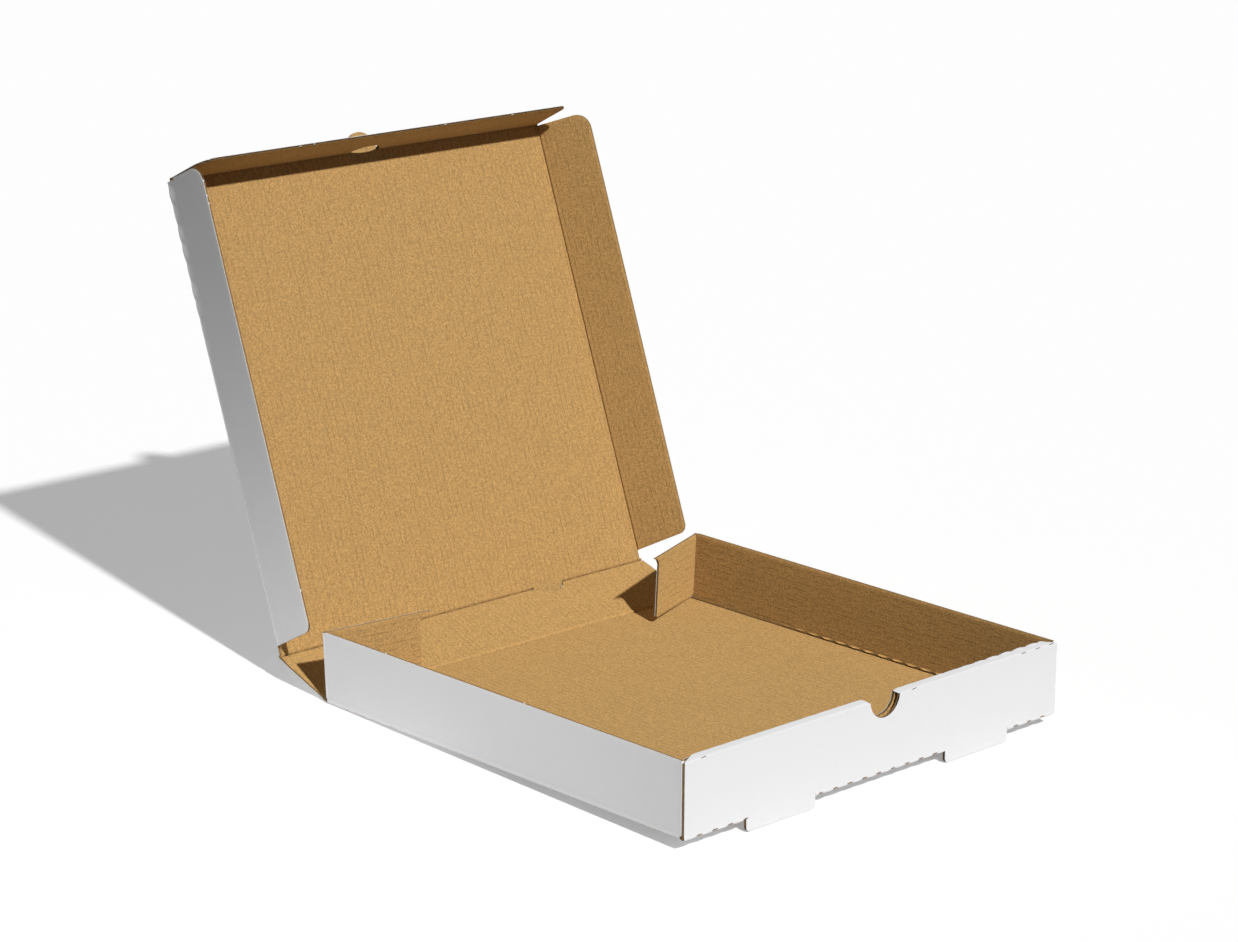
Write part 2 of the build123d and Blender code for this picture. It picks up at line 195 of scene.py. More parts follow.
class CreaseSettings(bpy.types.PropertyGroup):
    groove: size("Groove", 1.0, "Depth of the groove in the creases of lid, front flap and dust flaps")
    ripple: size("Ripple", 0.1, "How much that depth follows the flutes")
    flap_groove: size("Flap groove", 0.55, "Depth of the groove in the creases of the lid's side flaps")
    flap_dent: size("Flap dent", 0.12, "Depth of the dent beside that groove")
    flap_bow: size("Flap bow", 0.6, "How far those flaps bow out between the cuts of their creases")
    flap_bow_reach: size("Flap bow reach", 110, "How far from the lid's front crease they bow")
    flap_bow_fade: size("Flap bow fade", 70, "Length over which that dies away to the rear")
    flap_bow_start: size("Flap bow start", 8, "Length over which it grows from that crease")
    flap_sink: size("Flap sink", 0.1, "How far the white side is sunk at those cuts")
    corner_groove: size("Corner groove", 1.05, "Depth of the groove in the bends round the front")
    wall_groove: size("Wall groove", 1.1, "Depth of the groove in the creases under the side walls")
    wall_score: size("Wall score", 0.7, "Depth of the score on the floor beside them")
    wall_hump: size("Wall hump", 0.8, "Height of the humps between their cuts")
    wall_hump_end: size("Wall hump end", 75, "Where those humps end, behind the tray's middle")
    rear_ridge: size("Rear ridge", 0.85, "Height of the ridge along the rear crease of the floor")
    rear_ripple: size("Rear ripple", 0.12, "How much that height follows the flutes")
    rear_valley: size("Rear valley", 0.5, "Depth of the valley in front of that ridge")
    foot_hump: size("Foot hump", 0.45, "Height of the humps between the cuts along the front's foot")
    foot_sink: size("Foot sink", 0.25, "How far that crease is sunk at its cuts")
    roll_hump: size("Roll hump", 0.8, "Height of the humps between the cuts of the fold over the top")
    roll_sink: size("Roll sink", 0.35, "How far that fold is sunk at its cuts")
    roll_start: size("Roll start", 50, "Where that starts to show more, right of the tray's middle")
    roll_run: size("Roll run", 45, "Length over which it comes to show in full")
    notch_sink: size("Notch sink", 0.8, "How far that fold is pressed down beside the finger notch")


class StageSettings(bpy.types.PropertyGroup):
    lens: FloatProperty(name="Lens", description="Focal length on a sensor 36 wide", default=101.65,
                        unit="CAMERA")
    lens_shift: FloatVectorProperty(name="Lens shift", description="Picture's middle, off the lens's axis",
                                    default=(0.0487, -0.0022), size=2)
    eye: position("Eye", (-1.151, -1.20942, 0.5991), "Place of the camera")
    eye_right: direction("Eye right", (0.73755, -0.67506, 0.0179), "Way to the picture's right")
    eye_up: direction("Eye up", (0.17729, 0.21913, 0.95945), "Way to the picture's top")
    eye_back: direction("Eye back", (-0.65161, -0.70447, 0.2813), "Way from the picture to the eye")
    sun: power("Sun", 3.15, "Strength of the key light")
    sun_size: FloatProperty(name="Sun size", description="Apparent size of the key light, for its soft edge",
                            default=math.radians(2), unit="ROTATION")
    sun_travel: direction("Sun travel", (0.17, 0.738, -0.654), "Way that the key light travels")
    sky: power("Sky", 0.05, "Strength of the even light from all round")
    fill: power("Fill", 0.092, "Strength of the low soft light on the left")
    fill_place: position("Fill place", (-0.5, -0.1, 0.04), "Middle of that light")
    fill_width: size("Fill width", 400, "Width of that light")
    fill_height: size("Fill height", 60, "Height of that light")
    fill_spread: FloatProperty(name="Fill spread", description="How wide that light opens",
                               default=math.radians(80), unit="ROTATION")
    floor: colour("Floor", (0.95, 0.95, 0.95), "Pale floor near the box")
    floor_radius: size("Floor radius", 30000, "Radius of the floor")
    floor_drop: size("Floor drop", 0.3, "How far the floor lies below the box")
    floor_lit: power("Floor lit", 0.722, "What white floor gives back under the key light")
    contact_near: size("Contact near", 160, "Floor this close to the front lies in its contact shadow")
    contact_far: size("Contact far", 250, "Distance at which that ends")
    bounce_front: fraction("Bounce front", 0.6, "Share of its light that this floor gives back")
    bounce_near: size("Bounce near", 250, "Floor within this distance gives back its full light")
    bounce_far: size("Bounce far", 550, "Floor beyond this distance gives back little")
    bounce_rest: fraction("Bounce rest", 0.0, "Share of its light that the far floor gives back")
    shadow_depth: fraction("Shadow depth", 0.85, "How strongly the floor shows the shadow")


def ease(t):
    t = np.clip(t, 0, 1)
    return t * t * (3 - 2 * t)


def bell(t):
    return np.exp(-np.square(t))


def ridge(y, place, width):
    """Rise of 1 across a crease, with its place and width in millimetres."""
    return bell((y / MM - place) / width)


def xyz(x, y, z):
    """Points from three arrays of coordinates, or from single values among them."""
    return np.stack(np.broadcast_arrays(x, y, z), axis=-1)


def frame_of(origin, outward, inward):
    """Frame with Y outward along a panel and Z towards its brown side."""
    y, z = Vector(outward).normalized(), Vector(inward).normalized()
    x = y.cross(z).normalized()
    z = x.cross(y)
    return Matrix((x, y, z)).transposed().to_4x4() + Matrix(
        ((0, 0, 0, origin[0]), (0, 0, 0, origin[1]), (0, 0, 0, origin[2]), (0, 0, 0, 0)))


def hinge_of(child):
    return next(j for j in frame["joints"] if j["child"] == child)


def crease_distance(first, second):
    """Distance between the creases of two folding panels."""
    return (Vector(hinge_of(second)["pos_m"]) - Vector(hinge_of(first)["pos_m"])).length


def points_of(node):
    mesh = frame["nodes"][node].data
    flat = np.empty(len(mesh.vertices) * 3)
    mesh.vertices.foreach_get("co", flat)
    return flat.reshape(-1, 3)


def panel_frame(child):
    """Frame of a folding panel on its crease, read from its joint and its largest flat face."""
    hinge = hinge_of(child)
    origin, along = Vector(hinge["pos_m"]), Vector(hinge["axis"]).normalized()
    face = max(frame["nodes"][child].data.polygons, key=lambda p: p.area)
    outward = face.normal.cross(along).normalized()
    away = points_of(child) - np.array(origin)
    if (away @ np.array(outward)).mean() < 0:
        outward.negate()
    heights = away @ np.array(face.normal)
    inward = face.normal if heights.max() > -heights.min() else -face.normal
    return frame_of(origin, outward, inward)


def tray_frame():
    """Middle of the tray's underside, with Y to the rear and Z up."""
    rest = next(m for m in frame["record"]["mounts"] if m["name"] == "tray_underside")
    up = -Vector(rest["axis"])
    return frame_of(rest["pos_m"], Vector((0, 1, 0)) - up * up.y, up)


def local_box(node, matrix):
    """Lowest and highest corner of a node in a panel's frame."""
    inverse = np.array(matrix.inverted())
    points = points_of(node) @ inverse[:3, :3].T + inverse[:3, 3]
    return points.min(axis=0), points.max(axis=0)


def to_world(matrix, points):
    m = np.array(matrix)
    return points @ m[:3, :3].T + m[:3, 3]


def rounded(corners, steps=9):
    """Closed outline from (x, y, radius) corners."""
    ring = []
    for k, (x, y, radius) in enumerate(corners):
        here = Vector((x, y))
        before = (Vector(corners[k - 1][:2]) - here).normalized()
        after = (Vector(corners[(k + 1) % len(corners)][:2]) - here).normalized()
        if radius == 0:
            ring.append((x, y))
            continue
        half = before.angle(after) / 2
        centre = here + (before + after).normalized() * (radius / math.sin(half))
        first = here + before * (radius / math.tan(half)) - centre
        last = here + after * (radius / math.tan(half)) - centre
        turn = first.angle_signed(last)
        for step in range(steps + 1):
            spoke = first.copy()
            spoke.rotate(Matrix.Rotation(-turn * step / steps, 2))
            ring.append(tuple(centre + spoke))
    return ring


def half_moon(width, reach, steps=16):
    """Arc over a chord on the X axis, from left to right; a negative reach hangs below it."""
    radius = (width * width / 4 + reach * reach) / (2 * abs(reach))
    side = math.copysign(1, reach)
    swing = math.asin(min(1, width / 2 / radius))
    if abs(reach) > width / 2:
        swing = math.pi - swing
    angles = np.linspace(-swing, swing, steps + 1)
    return [(radius * math.sin(a), reach + side * radius * (math.cos(a) - 1)) for a in angles]


def column_ends(ring, across):
    """Lowest and highest point of a closed outline in each column."""
    low, high = np.full(len(across), np.inf), np.full(len(across), -np.inf)
    for (u0, v0), (u1, v1) in zip(ring, ring[1:] + ring[:1]):
        if u0 == u1:
            continue
        t = (across - u0) / (u1 - u0)
        v = v0 + t * (v1 - v0)
        hit = (t >= 0) & (t <= 1)
        low[hit] = np.minimum(low[hit], v[hit])
        high[hit] = np.maximum(high[hit], v[hit])
    return low, high


def grid_quads(start, columns, rows):
    i, j = np.meshgrid(np.arange(columns - 1), np.arange(rows - 1), indexing="ij")
    first = start + i * rows + j
    return np.stack([first, first + rows, first + rows + 1, first + 1], axis=-1).reshape(-1, 4)


def rim_quads(start_a, start_b, columns, rows):
    """Walls that close two grids of points along their borders."""
    i, j = np.arange(columns), np.arange(rows)
    loop = np.concatenate([i * rows, (columns - 1) * rows + j[1:], (i * rows + rows - 1)[::-1][1:],
                           j[::-1][1:-1]])
    after = np.roll(loop, -1)
    return np.stack([start_a + loop, start_a + after, start_b + after, start_b + loop], axis=-1)


def make_piece(name, points, quads, finish, coordinates, wear=0.0, score=0.0):
    """Mesh object from quads, with the board's own coordinates, the wear of edges and the painted shading of
    creases: score above 0 is painted shade, below 0 painted highlight.
    """
    mesh = bpy.data.meshes.new(name)
    mesh.vertices.add(len(points))
    mesh.vertices.foreach_set("co", points.ravel())
    mesh.loops.add(quads.size)
    mesh.loops.foreach_set("vertex_index", quads.ravel())
    mesh.polygons.add(len(quads))
    mesh.polygons.foreach_set("loop_start", np.arange(0, quads.size, 4))
    mesh.polygons.foreach_set("material_index", finish)
    mesh.update(calc_edges=True)
    mesh.attributes.new("board", "FLOAT_VECTOR", "POINT").data.foreach_set("vector", coordinates.ravel())
    # score is painted shading: shade in creases and corners above 0, highlight on ridges and humps below 0
    for label, values in (("wear", wear), ("score", score)):
        values = np.array(np.broadcast_to(np.ravel(values), len(points)), dtype=float)
        mesh.attributes.new(label, "FLOAT", "POINT").data.foreach_set("value", values)
    shape = bmesh.new()
    shape.from_mesh(mesh)
    bmesh.ops.recalc_face_normals(shape, faces=shape.faces)
    shape.to_mesh(mesh)
    shape.free()
    mesh.shade_smooth()
    mesh.set_sharp_from_angle(angle=SHARP)
    for make in (white_liner, kraft_liner, fluted_medium):
        mesh.materials.append(make())
    piece = bpy.data.objects.new(name, mesh)
    bpy.context.scene.collection.objects.link(piece)
    return piece


def sheet(name, ring, place, free, middle_rows=4):
    """Corrugated panel inside an outline of (across, along) the flutes.

    place turns points of (across, along, depth under the white face) into the frame of the part. free tells
    which of the low and high ends across and along are cut edges, crushed by the die.
    """
    board = bpy.context.scene.pizza_board
    near = np.array(RIM_ROWS) * board.edge
    corners = np.array(ring)[:, 0]
    left, right = corners.min() + HAIR, corners.max() - HAIR
    even = np.linspace(left, right, int((right - left) / board.pitch * PER_FLUTE) + 2)
    stations = np.concatenate([even, left + near, right - near, corners - HAIR, corners + HAIR])
    across = np.unique(np.clip(stations, left, right))
    across = across[np.concatenate([[True], np.diff(across) > HAIR / 2])]
    low, high = column_ends(ring, across)
    squeeze = np.minimum(1, (high - low) / (4 * near[-1]))[:, None]
    inner = low[:, None] + near[-1] * squeeze
    share = np.linspace(0, 1, middle_rows + 2)[1:-1]
    span = (high - low)[:, None] - 2 * near[-1] * squeeze
    along = np.hstack([low[:, None] + near * squeeze, inner + share * span,
                       high[:, None] - near[::-1] * squeeze])
    u = np.broadcast_to(across[:, None], along.shape)
    far = np.full(along.shape, 1.0)
    gaps = (u - left, right - u, along - low[:, None], high[:, None] - along)
    gap = np.minimum.reduce([g if cut else far for g, cut in zip(gaps, free)])
    rim = 1 - ease(gap / board.edge)
    loss = board.thickness * board.edge_crush * rim
    wave = np.cos(2 * math.pi * u / board.pitch)
    lost_white, lost_kraft = WHITE_CRUSH * loss, (1 - WHITE_CRUSH) * loss
    outside = lost_white + board.white_washboard * (1 + wave) / 2 * (1 - rim)
    inside = board.thickness - lost_kraft - board.washboard * (1 - wave) / 2 * (1 - rim)
    swing = (board.thickness - loss) / 2 - board.liner - board.medium / 2
    under_white, under_kraft = lost_white + board.liner, board.thickness - lost_kraft - board.liner
    core = (under_white + under_kraft) / 2 + swing * wave * FLUTE_FILL
    side_cut = np.isin(np.arange(len(across)), (0, len(across) - 1))[:, None]
    depths = (outside, under_white, np.where(side_cut, under_white, core - board.medium / 2),
              np.where(side_cut, under_kraft, core + board.medium / 2), under_kraft, inside)
    columns, rows = along.shape
    count = columns * rows
    layers = np.stack([xyz(u, along, depth) for depth in depths])
    quads, finish = [], []
    for slab, (outer, inner_side, edge) in enumerate(((WHITE, FLUTE, WHITE), (FLUTE, FLUTE, FLUTE),
                                                      (FLUTE, KRAFT, FLUTE))):
        a, b = 2 * slab * count, (2 * slab + 1) * count
        for part, mark in ((grid_quads(a, columns, rows), outer), (grid_quads(b, columns, rows), inner_side),
                           (rim_quads(a, b, columns, rows), edge)):
            quads.append(part)
            finish.append(np.full(len(part), mark))
    flat = layers.reshape(-1, 3)
    wear = np.broadcast_to(rim, (len(depths), columns, rows))
    return make_piece(name, place(flat), np.concatenate(quads), np.concatenate(finish), flat, wear)


def groove(half, depth):
    """Brown side pressed in along the middle of a crease; depth is a length or a function of the station."""
    return lambda x, y: -(depth(x) if callable(depth) else depth) * np.clip(1 - np.abs(y) / half, 0, 1)


def crease(name, carrier, fold, stations, half, inner, outer=None, root=None, reach=None, trim=None,
           turn=0.85, along_flutes=False, score=None):
    """Crushed strip of board that joins a panel to the one folded up from it.

    carrier is the crease's frame in the plane of the panel that carries it. The strip turns within half of
    the axis, mostly in the share turn of that, and goes on flat to root on the folded panel. inner and outer
    give how far the brown and the white side stand out at (station, distance from the axis), and score the
    painted shade (above 0) or painted highlight (below 0) laid on the brown side there. reach ends the turned
    half where the other panel has stopped, and trim slants its ends.
    """
    board = bpy.context.scene.pizza_board
    stations = np.asarray(stations)[:, None]
    steps = np.linspace(-half, half, max(15, int(2 * half / CREASE_ROW)))
    if root:
        steps = np.concatenate([steps, np.linspace(half, root, 11)[1:]])
    cut = np.ones_like(stations) if reach is None else np.asarray(reach)[:, None]
    y = np.where(steps > 0, steps * cut, steps)
    x = np.broadcast_to(stations, y.shape)
    if trim:
        x = np.where(y > 0, trim(x, y), x)
    angle = ease((y / half / turn + 1) / 2) * np.reshape(fold, (-1, 1))
    inner_face = board.thickness - board.bead
    heights = (-board.bead - (outer(x, y) if outer else 0), inner_face + inner(x, y))
    cos, sin = np.cos(angle), np.sin(angle)
    layers = np.stack([xyz(x, y * cos - z * sin, y * sin + z * cos) for z in heights])
    grain = xyz(y, x, 0.0) if along_flutes else xyz(x, y, 0.0)
    # painted shade and highlight of the crease, laid into the brown side's colour
    tone = score(x, y) if score else 0.0
    return shell(name, carrier, layers, np.stack([grain, grain]), bell(y / half / 0.5), tone)


def shell(name, matrix, layers, grain, wear=0.0, score=0.0):
    """Closed strip between a white and a brown grid of points."""
    columns, rows = layers.shape[1:3]
    count = columns * rows
    parts = ((grid_quads(0, columns, rows), WHITE), (grid_quads(count, columns, rows), KRAFT),
             (rim_quads(0, count, columns, rows), FLUTE))
    quads = np.concatenate([quad for quad, _ in parts])
    finish = np.concatenate([np.full(len(quad), mark) for quad, mark in parts])
    # score carries painted shade and highlight into the colour
    worn, tone = (np.broadcast_to(values, (2, columns, rows)) for values in (wear, score))
    points = to_world(matrix, layers.reshape(-1, 3))
    return make_piece(name, points, quads, finish, grain.reshape(-1, 3), worn, tone)


def hinge_crease(child, parent, outward, spans, half, inner, reach=None, **more):
    """Crease of a fold, bent to the angle between the two panels as they stand, and left in place."""
    panel = panel_frame(child)
    x, y = panel.col[0].xyz, panel.col[1].xyz
    carrier = frame_of(panel.col[3].xyz, outward, x.cross(outward))
    fold = math.atan2(outward.cross(y).dot(x), outward.dot(y))
    for k, stations in enumerate(spans):
        name = f"{child}_crease" + (f"_{k + 1}" if len(spans) > 1 else "")
        ends = reach(stations) if reach else None
        strip = crease(name, carrier, fold, stations, half, inner, reach=ends, **more)
        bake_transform(strip)


def run(start, end, step=1.0 * MM, breaks=()):
    """Stations along a crease, doubled where something stops."""
    marks = [np.linspace(start, end, int(abs(end - start) / step) + 2)]
    marks += [np.array((b - HAIR, b + HAIR)) for b in breaks]
    return np.unique(np.clip(np.concatenate(marks), min(start, end), max(start, end)))


def perforated(x, period):
    """Rounded humps between the cuts of a perforated crease."""
    return np.abs(np.sin(math.pi * x / period)) ** 0.7


def flute_ripple(x):
    return np.cos(2 * math.pi * x / bpy.context.scene.pizza_board.pitch)


def flute_run(start, end):
    """Stations along a crease that crosses the flutes."""
    return run(start, end, step=bpy.context.scene.pizza_board.pitch / PER_FLUTE)


def fluted_groove(half):
    """Groove whose depth follows the flutes that it crushes."""
    creases = bpy.context.scene.pizza_creases
    return groove(half, lambda x: creases.groove + creases.ripple * flute_ripple(x))


def dark_line(depth, width, aside=0.0):
    """Painted shade along an uneven crease line, either on the axis or in the corner where two brown faces meet
    aside from it.
    """
    def tone(x, y):
        wander = 0.15 * MM * (np.sin(x / (0.9 * MM)) + np.sin(x / (2.3 * MM)))
        return depth * bell((np.abs(y) - aside if aside else y + wander) / width)
    return tone


def flat_on(matrix, flutes_along_x=False):
    """Placing of a flat panel's points in its crease frame."""
    bead = bpy.context.scene.pizza_board.bead

    def place(points):
        u, v, w = points.T
        x, y = (v, u) if flutes_along_x else (u, v)
        return to_world(matrix, xyz(x, y, w - bead))
    return place


def made_once(store):
    """Decorator for a function that builds a data block of its own name when it is first asked for."""
    def wrap(build):
        def fetch():
            return getattr(bpy.data, store).get(build.__name__) or build(build.__name__)
        return fetch
    return wrap


def group(name, inputs, outputs):
    """Empty node group with named float or vector inputs and float outputs."""
    tree = bpy.data.node_groups.new(name, "ShaderNodeTree")
    for label, kind, default in inputs:
        socket = tree.interface.new_socket(label, in_out="INPUT", socket_type=kind)
        if default is not None:
            socket.default_value = default
    for label in outputs:
        tree.interface.new_socket(label, in_out="OUTPUT", socket_type="NodeSocketFloat")
    return tree, tree.nodes.new("NodeGroupInput"), tree.nodes.new("NodeGroupOutput")


class Wiring:
    """Shorthand for adding nodes to a tree and joining them."""

    def __init__(self, tree):
        self.tree = tree

    def feed(self, socket, value):
        if isinstance(value, bpy.types.NodeSocket):
            self.tree.links.new(value, socket)
        else:
            socket.default_value = value

    def add(self, kind, settings=None, **inputs):
        node = self.tree.nodes.new(kind)
        for key, value in (settings or {}).items():
            setattr(node, key, value)
        for label, value in inputs.items():
            self.feed(node.inputs[label.replace("_", " ")], value)
        return node

    def math(self, operation, a, b):
        node = self.add("ShaderNodeMath", {"operation": operation})
        self.feed(node.inputs[0], a)
        self.feed(node.inputs[1], b)
        return node.outputs[0]

    def span(self, value, low, high, to_low=0.0, to_high=1.0):
        """Smooth step of a value from one range to another."""
        node = self.add("ShaderNodeMapRange", {"interpolation_type": "SMOOTHSTEP"}, Value=value, From_Min=low,
                        From_Max=high, To_Min=to_low, To_Max=to_high)
        return node.outputs[0]

    def stretch(self, vector, factors):
        node = self.add("ShaderNodeVectorMath", {"operation": "MULTIPLY"})
        self.feed(node.inputs[0], vector)
        node.inputs[1].default_value = factors
        return node.outputs[0]

    def noise(self, vector, scale, detail=2.0, roughness=0.5):
        return self.add("ShaderNodeTexNoise", None, Vector=vector, Scale=scale, Detail=detail,
                        Roughness=roughness).outputs["Fac"]

    def mix(self, factor, a, b, blend="MIX"):
        node = self.add("ShaderNodeMix", {"data_type": "RGBA", "blend_type": blend})
        for socket, value in ((node.inputs[0], factor), (node.inputs[6], a), (node.inputs[7], b)):
            self.feed(socket, value)
        return node.outputs[2]

    def tint(self, base, mask, amount, paint):
        """Base colour with some of another laid over it through a mask."""
        return self.mix(self.math("MULTIPLY", mask, amount), base, paint)

    def choose(self, mask, plain, other, output):
        """Shader of a material or a world that turns from one to another by a mask."""
        choice = self.add("ShaderNodeMixShader")
        for socket, value in zip(choice.inputs, (mask, plain.outputs[0], other.outputs[0])):
            self.feed(socket, value)
        self.feed(self.add(output).inputs["Surface"], choice.outputs[0])


@made_once("node_groups")
def paper_fibre(name):
    """Cloudy formation, fine grain of fibres and scattered dark flecks of a paper surface."""
    inputs = (("Board", "NodeSocketVector", None), ("Grain size", "NodeSocketFloat", 900.0),
              ("Fleck amount", "NodeSocketFloat", 0.5))
    tree, given, out = group(name, inputs, ("Cloud", "Grain", "Fleck"))
    w = Wiring(tree)
    board, grain_size, amount = (given.outputs[label] for label, _, _ in inputs)
    fine = w.noise(board, grain_size, 4.0, 0.8)
    thread = w.noise(w.stretch(board, (0.9, 0.4, 1.0)), grain_size, 2.0, 0.6)
    clump = w.noise(board, w.math("MULTIPLY", grain_size, 0.6), 2.0, 0.6)
    grain = w.math("ADD", w.math("MULTIPLY", fine, 0.65), w.math("MULTIPLY", thread, 0.15))
    grain = w.math("ADD", grain, w.math("MULTIPLY", clump, 0.2))
    w.feed(out.inputs["Cloud"], w.span(w.noise(board, 70.0, 4.0, 0.6), 0.3, 0.7))
    w.feed(out.inputs["Grain"], w.span(grain, 0.36, 0.64))
    cells = w.add("ShaderNodeTexVoronoi", None, Vector=w.stretch(board, (1.0, 0.6, 1.0)), Scale=140.0)
    spot = w.span(cells.outputs["Distance"], 0.04, 0.09, 1.0, 0.0)
    draw = w.add("ShaderNodeSeparateColor", None, Color=cells.outputs["Color"]).outputs[0]
    picked = w.math("MULTIPLY", spot, w.span(draw, 0.86, 0.97))
    w.feed(out.inputs["Fleck"], w.math("MULTIPLY", picked, amount))
    return tree


@made_once("node_groups")
def flute_lines(name):
    """Faint broken lines where a liner sinks between the flutes."""
    inputs = (("Board", "NodeSocketVector", None), ("Pitch", "NodeSocketFloat", 3.4 * MM),
              ("Break", "NodeSocketFloat", 0.5))
    tree, given, out = group(name, inputs, ("Line",))
    w = Wiring(tree)
    board, pitch, gaps = (given.outputs[label] for label, _, _ in inputs)
    across = w.add("ShaderNodeSeparateXYZ", None, Vector=board).outputs[0]
    wander = w.math("MULTIPLY", w.math("SUBTRACT", w.noise(board, 120.0, 2.0), 0.5), 0.6 * MM)
    turns = w.math("DIVIDE", w.math("ADD", across, wander), pitch)
    line = w.span(w.math("PINGPONG", turns, 0.5), 0.02, 0.19, 1.0, 0.0)
    broken = w.span(w.noise(w.stretch(board, (1.0, 0.25, 1.0)), 520.0, 2.0), gaps, w.math("ADD", gaps, 0.15))
    w.feed(out.inputs["Line"], w.math("MULTIPLY", line, broken))
    return tree


def start_material(name):
    """Empty material with what each point of the board carries: its place, its wear and its score, the painted
    shade and highlight of creases.
    """
    material = bpy.data.materials.new(name)
    material.use_nodes = True
    material.node_tree.nodes.clear()
    w = Wiring(material.node_tree)
    board = w.add("ShaderNodeAttribute", {"attribute_name": "board"}).outputs["Vector"]
    wear, score = (w.add("ShaderNodeAttribute", {"attribute_name": label}).outputs["Fac"]
                   for label in ("wear", "score"))
    return material, w, board, wear, score


def use_group(w, tree, **inputs):
    return w.add("ShaderNodeGroup", {"node_tree": tree}, **inputs).outputs


def finish_material(w, base, roughness, height, strength):
    bump = w.add("ShaderNodeBump", None, Height=height, Strength=strength, Distance=FIBRE_HEIGHT)
    shader = w.add("ShaderNodeBsdfPrincipled", None, Base_Color=base, Roughness=roughness,
                   Normal=bump.outputs["Normal"])
    shader.inputs["Specular IOR Level"].default_value = PAPER_SHEEN
    shader.inputs["Diffuse Roughness"].default_value = PAPER_ROUGHNESS
    w.feed(w.add("ShaderNodeOutputMaterial").inputs["Surface"], shader.outputs["BSDF"])


def shade(paint, share):
    """Lighter or darker shade of a colour, with its alpha."""
    return tuple(min(1, c * share) for c in paint) + (1.0,)


@made_once("materials")
def kraft_liner(name):
    """Brown inside of the board, with flute lines, flecks, and painted shade and highlight along its creases."""
    settings = bpy.context.scene.pizza_board
    material, w, board, wear, score = start_material(name)
    fibre = use_group(w, paper_fibre(), Board=board, Grain_size=1150.0, Fleck_amount=0.8)
    lines = use_group(w, flute_lines(), Board=board, Pitch=settings.pitch, Break=0.43)
    base = w.mix(fibre["Grain"], shade(settings.kraft, 0.66), shade(settings.kraft, 1.3))
    base = w.tint(base, fibre["Cloud"], 0.10, shade(settings.kraft, 0.8))
    base = w.tint(base, lines["Line"], 0.34, shade(settings.kraft, 0.42))
    base = w.tint(base, fibre["Fleck"], 0.7, shade(settings.kraft, 0.3))
    base = w.tint(base, wear, 0.14, shade(settings.kraft, 1.25))
    # painted shading: darker where score is above 0, for shade in creases and corners; lighter below 0, for
    # highlights on ridges and humps
    base = w.mix(1.0, base, w.math("SUBTRACT", 1.0, w.math("MULTIPLY", score, 0.75)), "MULTIPLY")
    height = w.math("SUBTRACT", fibre["Grain"], lines["Line"])
    finish_material(w, base, w.span(fibre["Grain"], 0.2, 0.8, 0.78, 0.92), height, 0.4)
    return material


@made_once("materials")
def white_liner(name):
    """Bleached outside of the board, scuffed brown along cut edges."""
    settings = bpy.context.scene.pizza_board
    material, w, board, wear, _ = start_material(name)
    fibre = use_group(w, paper_fibre(), Board=board, Grain_size=1100.0, Fleck_amount=0.3)
    lines = use_group(w, flute_lines(), Board=board, Pitch=settings.pitch, Break=0.5)
    base = w.mix(fibre["Grain"], shade(settings.white, 0.985), shade(settings.white, 1.012))
    base = w.tint(base, fibre["Cloud"], 0.05, shade(settings.white, 0.88))
    base = w.tint(base, lines["Line"], 0.03, shade(settings.white, 0.8))
    base = w.tint(base, fibre["Fleck"], 0.2, shade(settings.white, 0.7))
    scuff = w.math("MULTIPLY", wear, w.span(fibre["Grain"], 0.6, 0.8))
    base = w.tint(base, scuff, 0.3, shade(settings.kraft, 1.2))
    height = w.math("SUBTRACT", fibre["Grain"], w.math("MULTIPLY", lines["Line"], 0.3))
    finish_material(w, base, w.span(fibre["Grain"], 0.2, 0.8, 0.52, 0.64), height, 0.06)
    return material


@made_once("materials")
def fluted_medium(name):
    """Rough brown paper of the flutes and of cut edges."""
    settings = bpy.context.scene.pizza_board
    material, w, board, wear, _ = start_material(name)
    fibre = use_group(w, paper_fibre(), Board=board, Grain_size=1500.0, Fleck_amount=0.6)
    base = w.mix(fibre["Grain"], shade(settings.flute, 0.65), shade(settings.flute, 1.4))
    base = w.tint(base, wear, 0.15, shade(settings.kraft, 0.9))
    finish_material(w, base, w.span(fibre["Grain"], 0.2, 0.8, 0.85, 0.97), fibre["Grain"], 0.5)
    return material


@made_once("materials")
def slit_shadow(name):
    """Dark inside of a narrow cut."""
    settings = bpy.context.scene.pizza_board
    material, w, board, _, _ = start_material(name)
    fibre = use_group(w, paper_fibre(), Board=board, Grain_size=1800.0, Fleck_amount=0.0)
    base = w.mix(fibre["Grain"], shade(settings.flute, 0.15), shade(settings.flute, 0.5))
    finish_material(w, base, w.span(fibre["Grain"], 0.2, 0.8, 0.85, 0.97), fibre["Grain"], 0.4)
    return material


def seen_directly(w):
    """1 for what the camera sees straight, in a reflection or through glass."""
    seen = w.add("ShaderNodeLightPath").outputs
    return w.math("MAXIMUM", seen["Is Camera Ray"],
                  w.math("MAXIMUM", seen["Is Glossy Ray"], seen["Is Transmission Ray"]))


def feet_of(tray):
    """Left and right end of each foot."""
    middles = (tray.foot_shift - tray.foot_spacing / 2, tray.foot_shift + tray.foot_spacing / 2)
    return [(m - tray.foot_width / 2, m + tray.foot_width / 2) for m in middles]


def beside_feet(tray):
    """Left and right end of each stretch of the front's foot between its feet and its ends."""
    stops = [-tray.width / 2, *[x for foot in feet_of(tray) for x in foot], tray.width / 2]
    return list(zip(stops[::2], stops[1::2]))


def upright(face, inward):
    """Placing of a layer of the front, from where its white face stands and the way to its brown one."""
    matrix = tray_frame()
    return lambda p: to_world(matrix, xyz(p[:, 0], face + inward * p[:, 2], p[:, 1]))


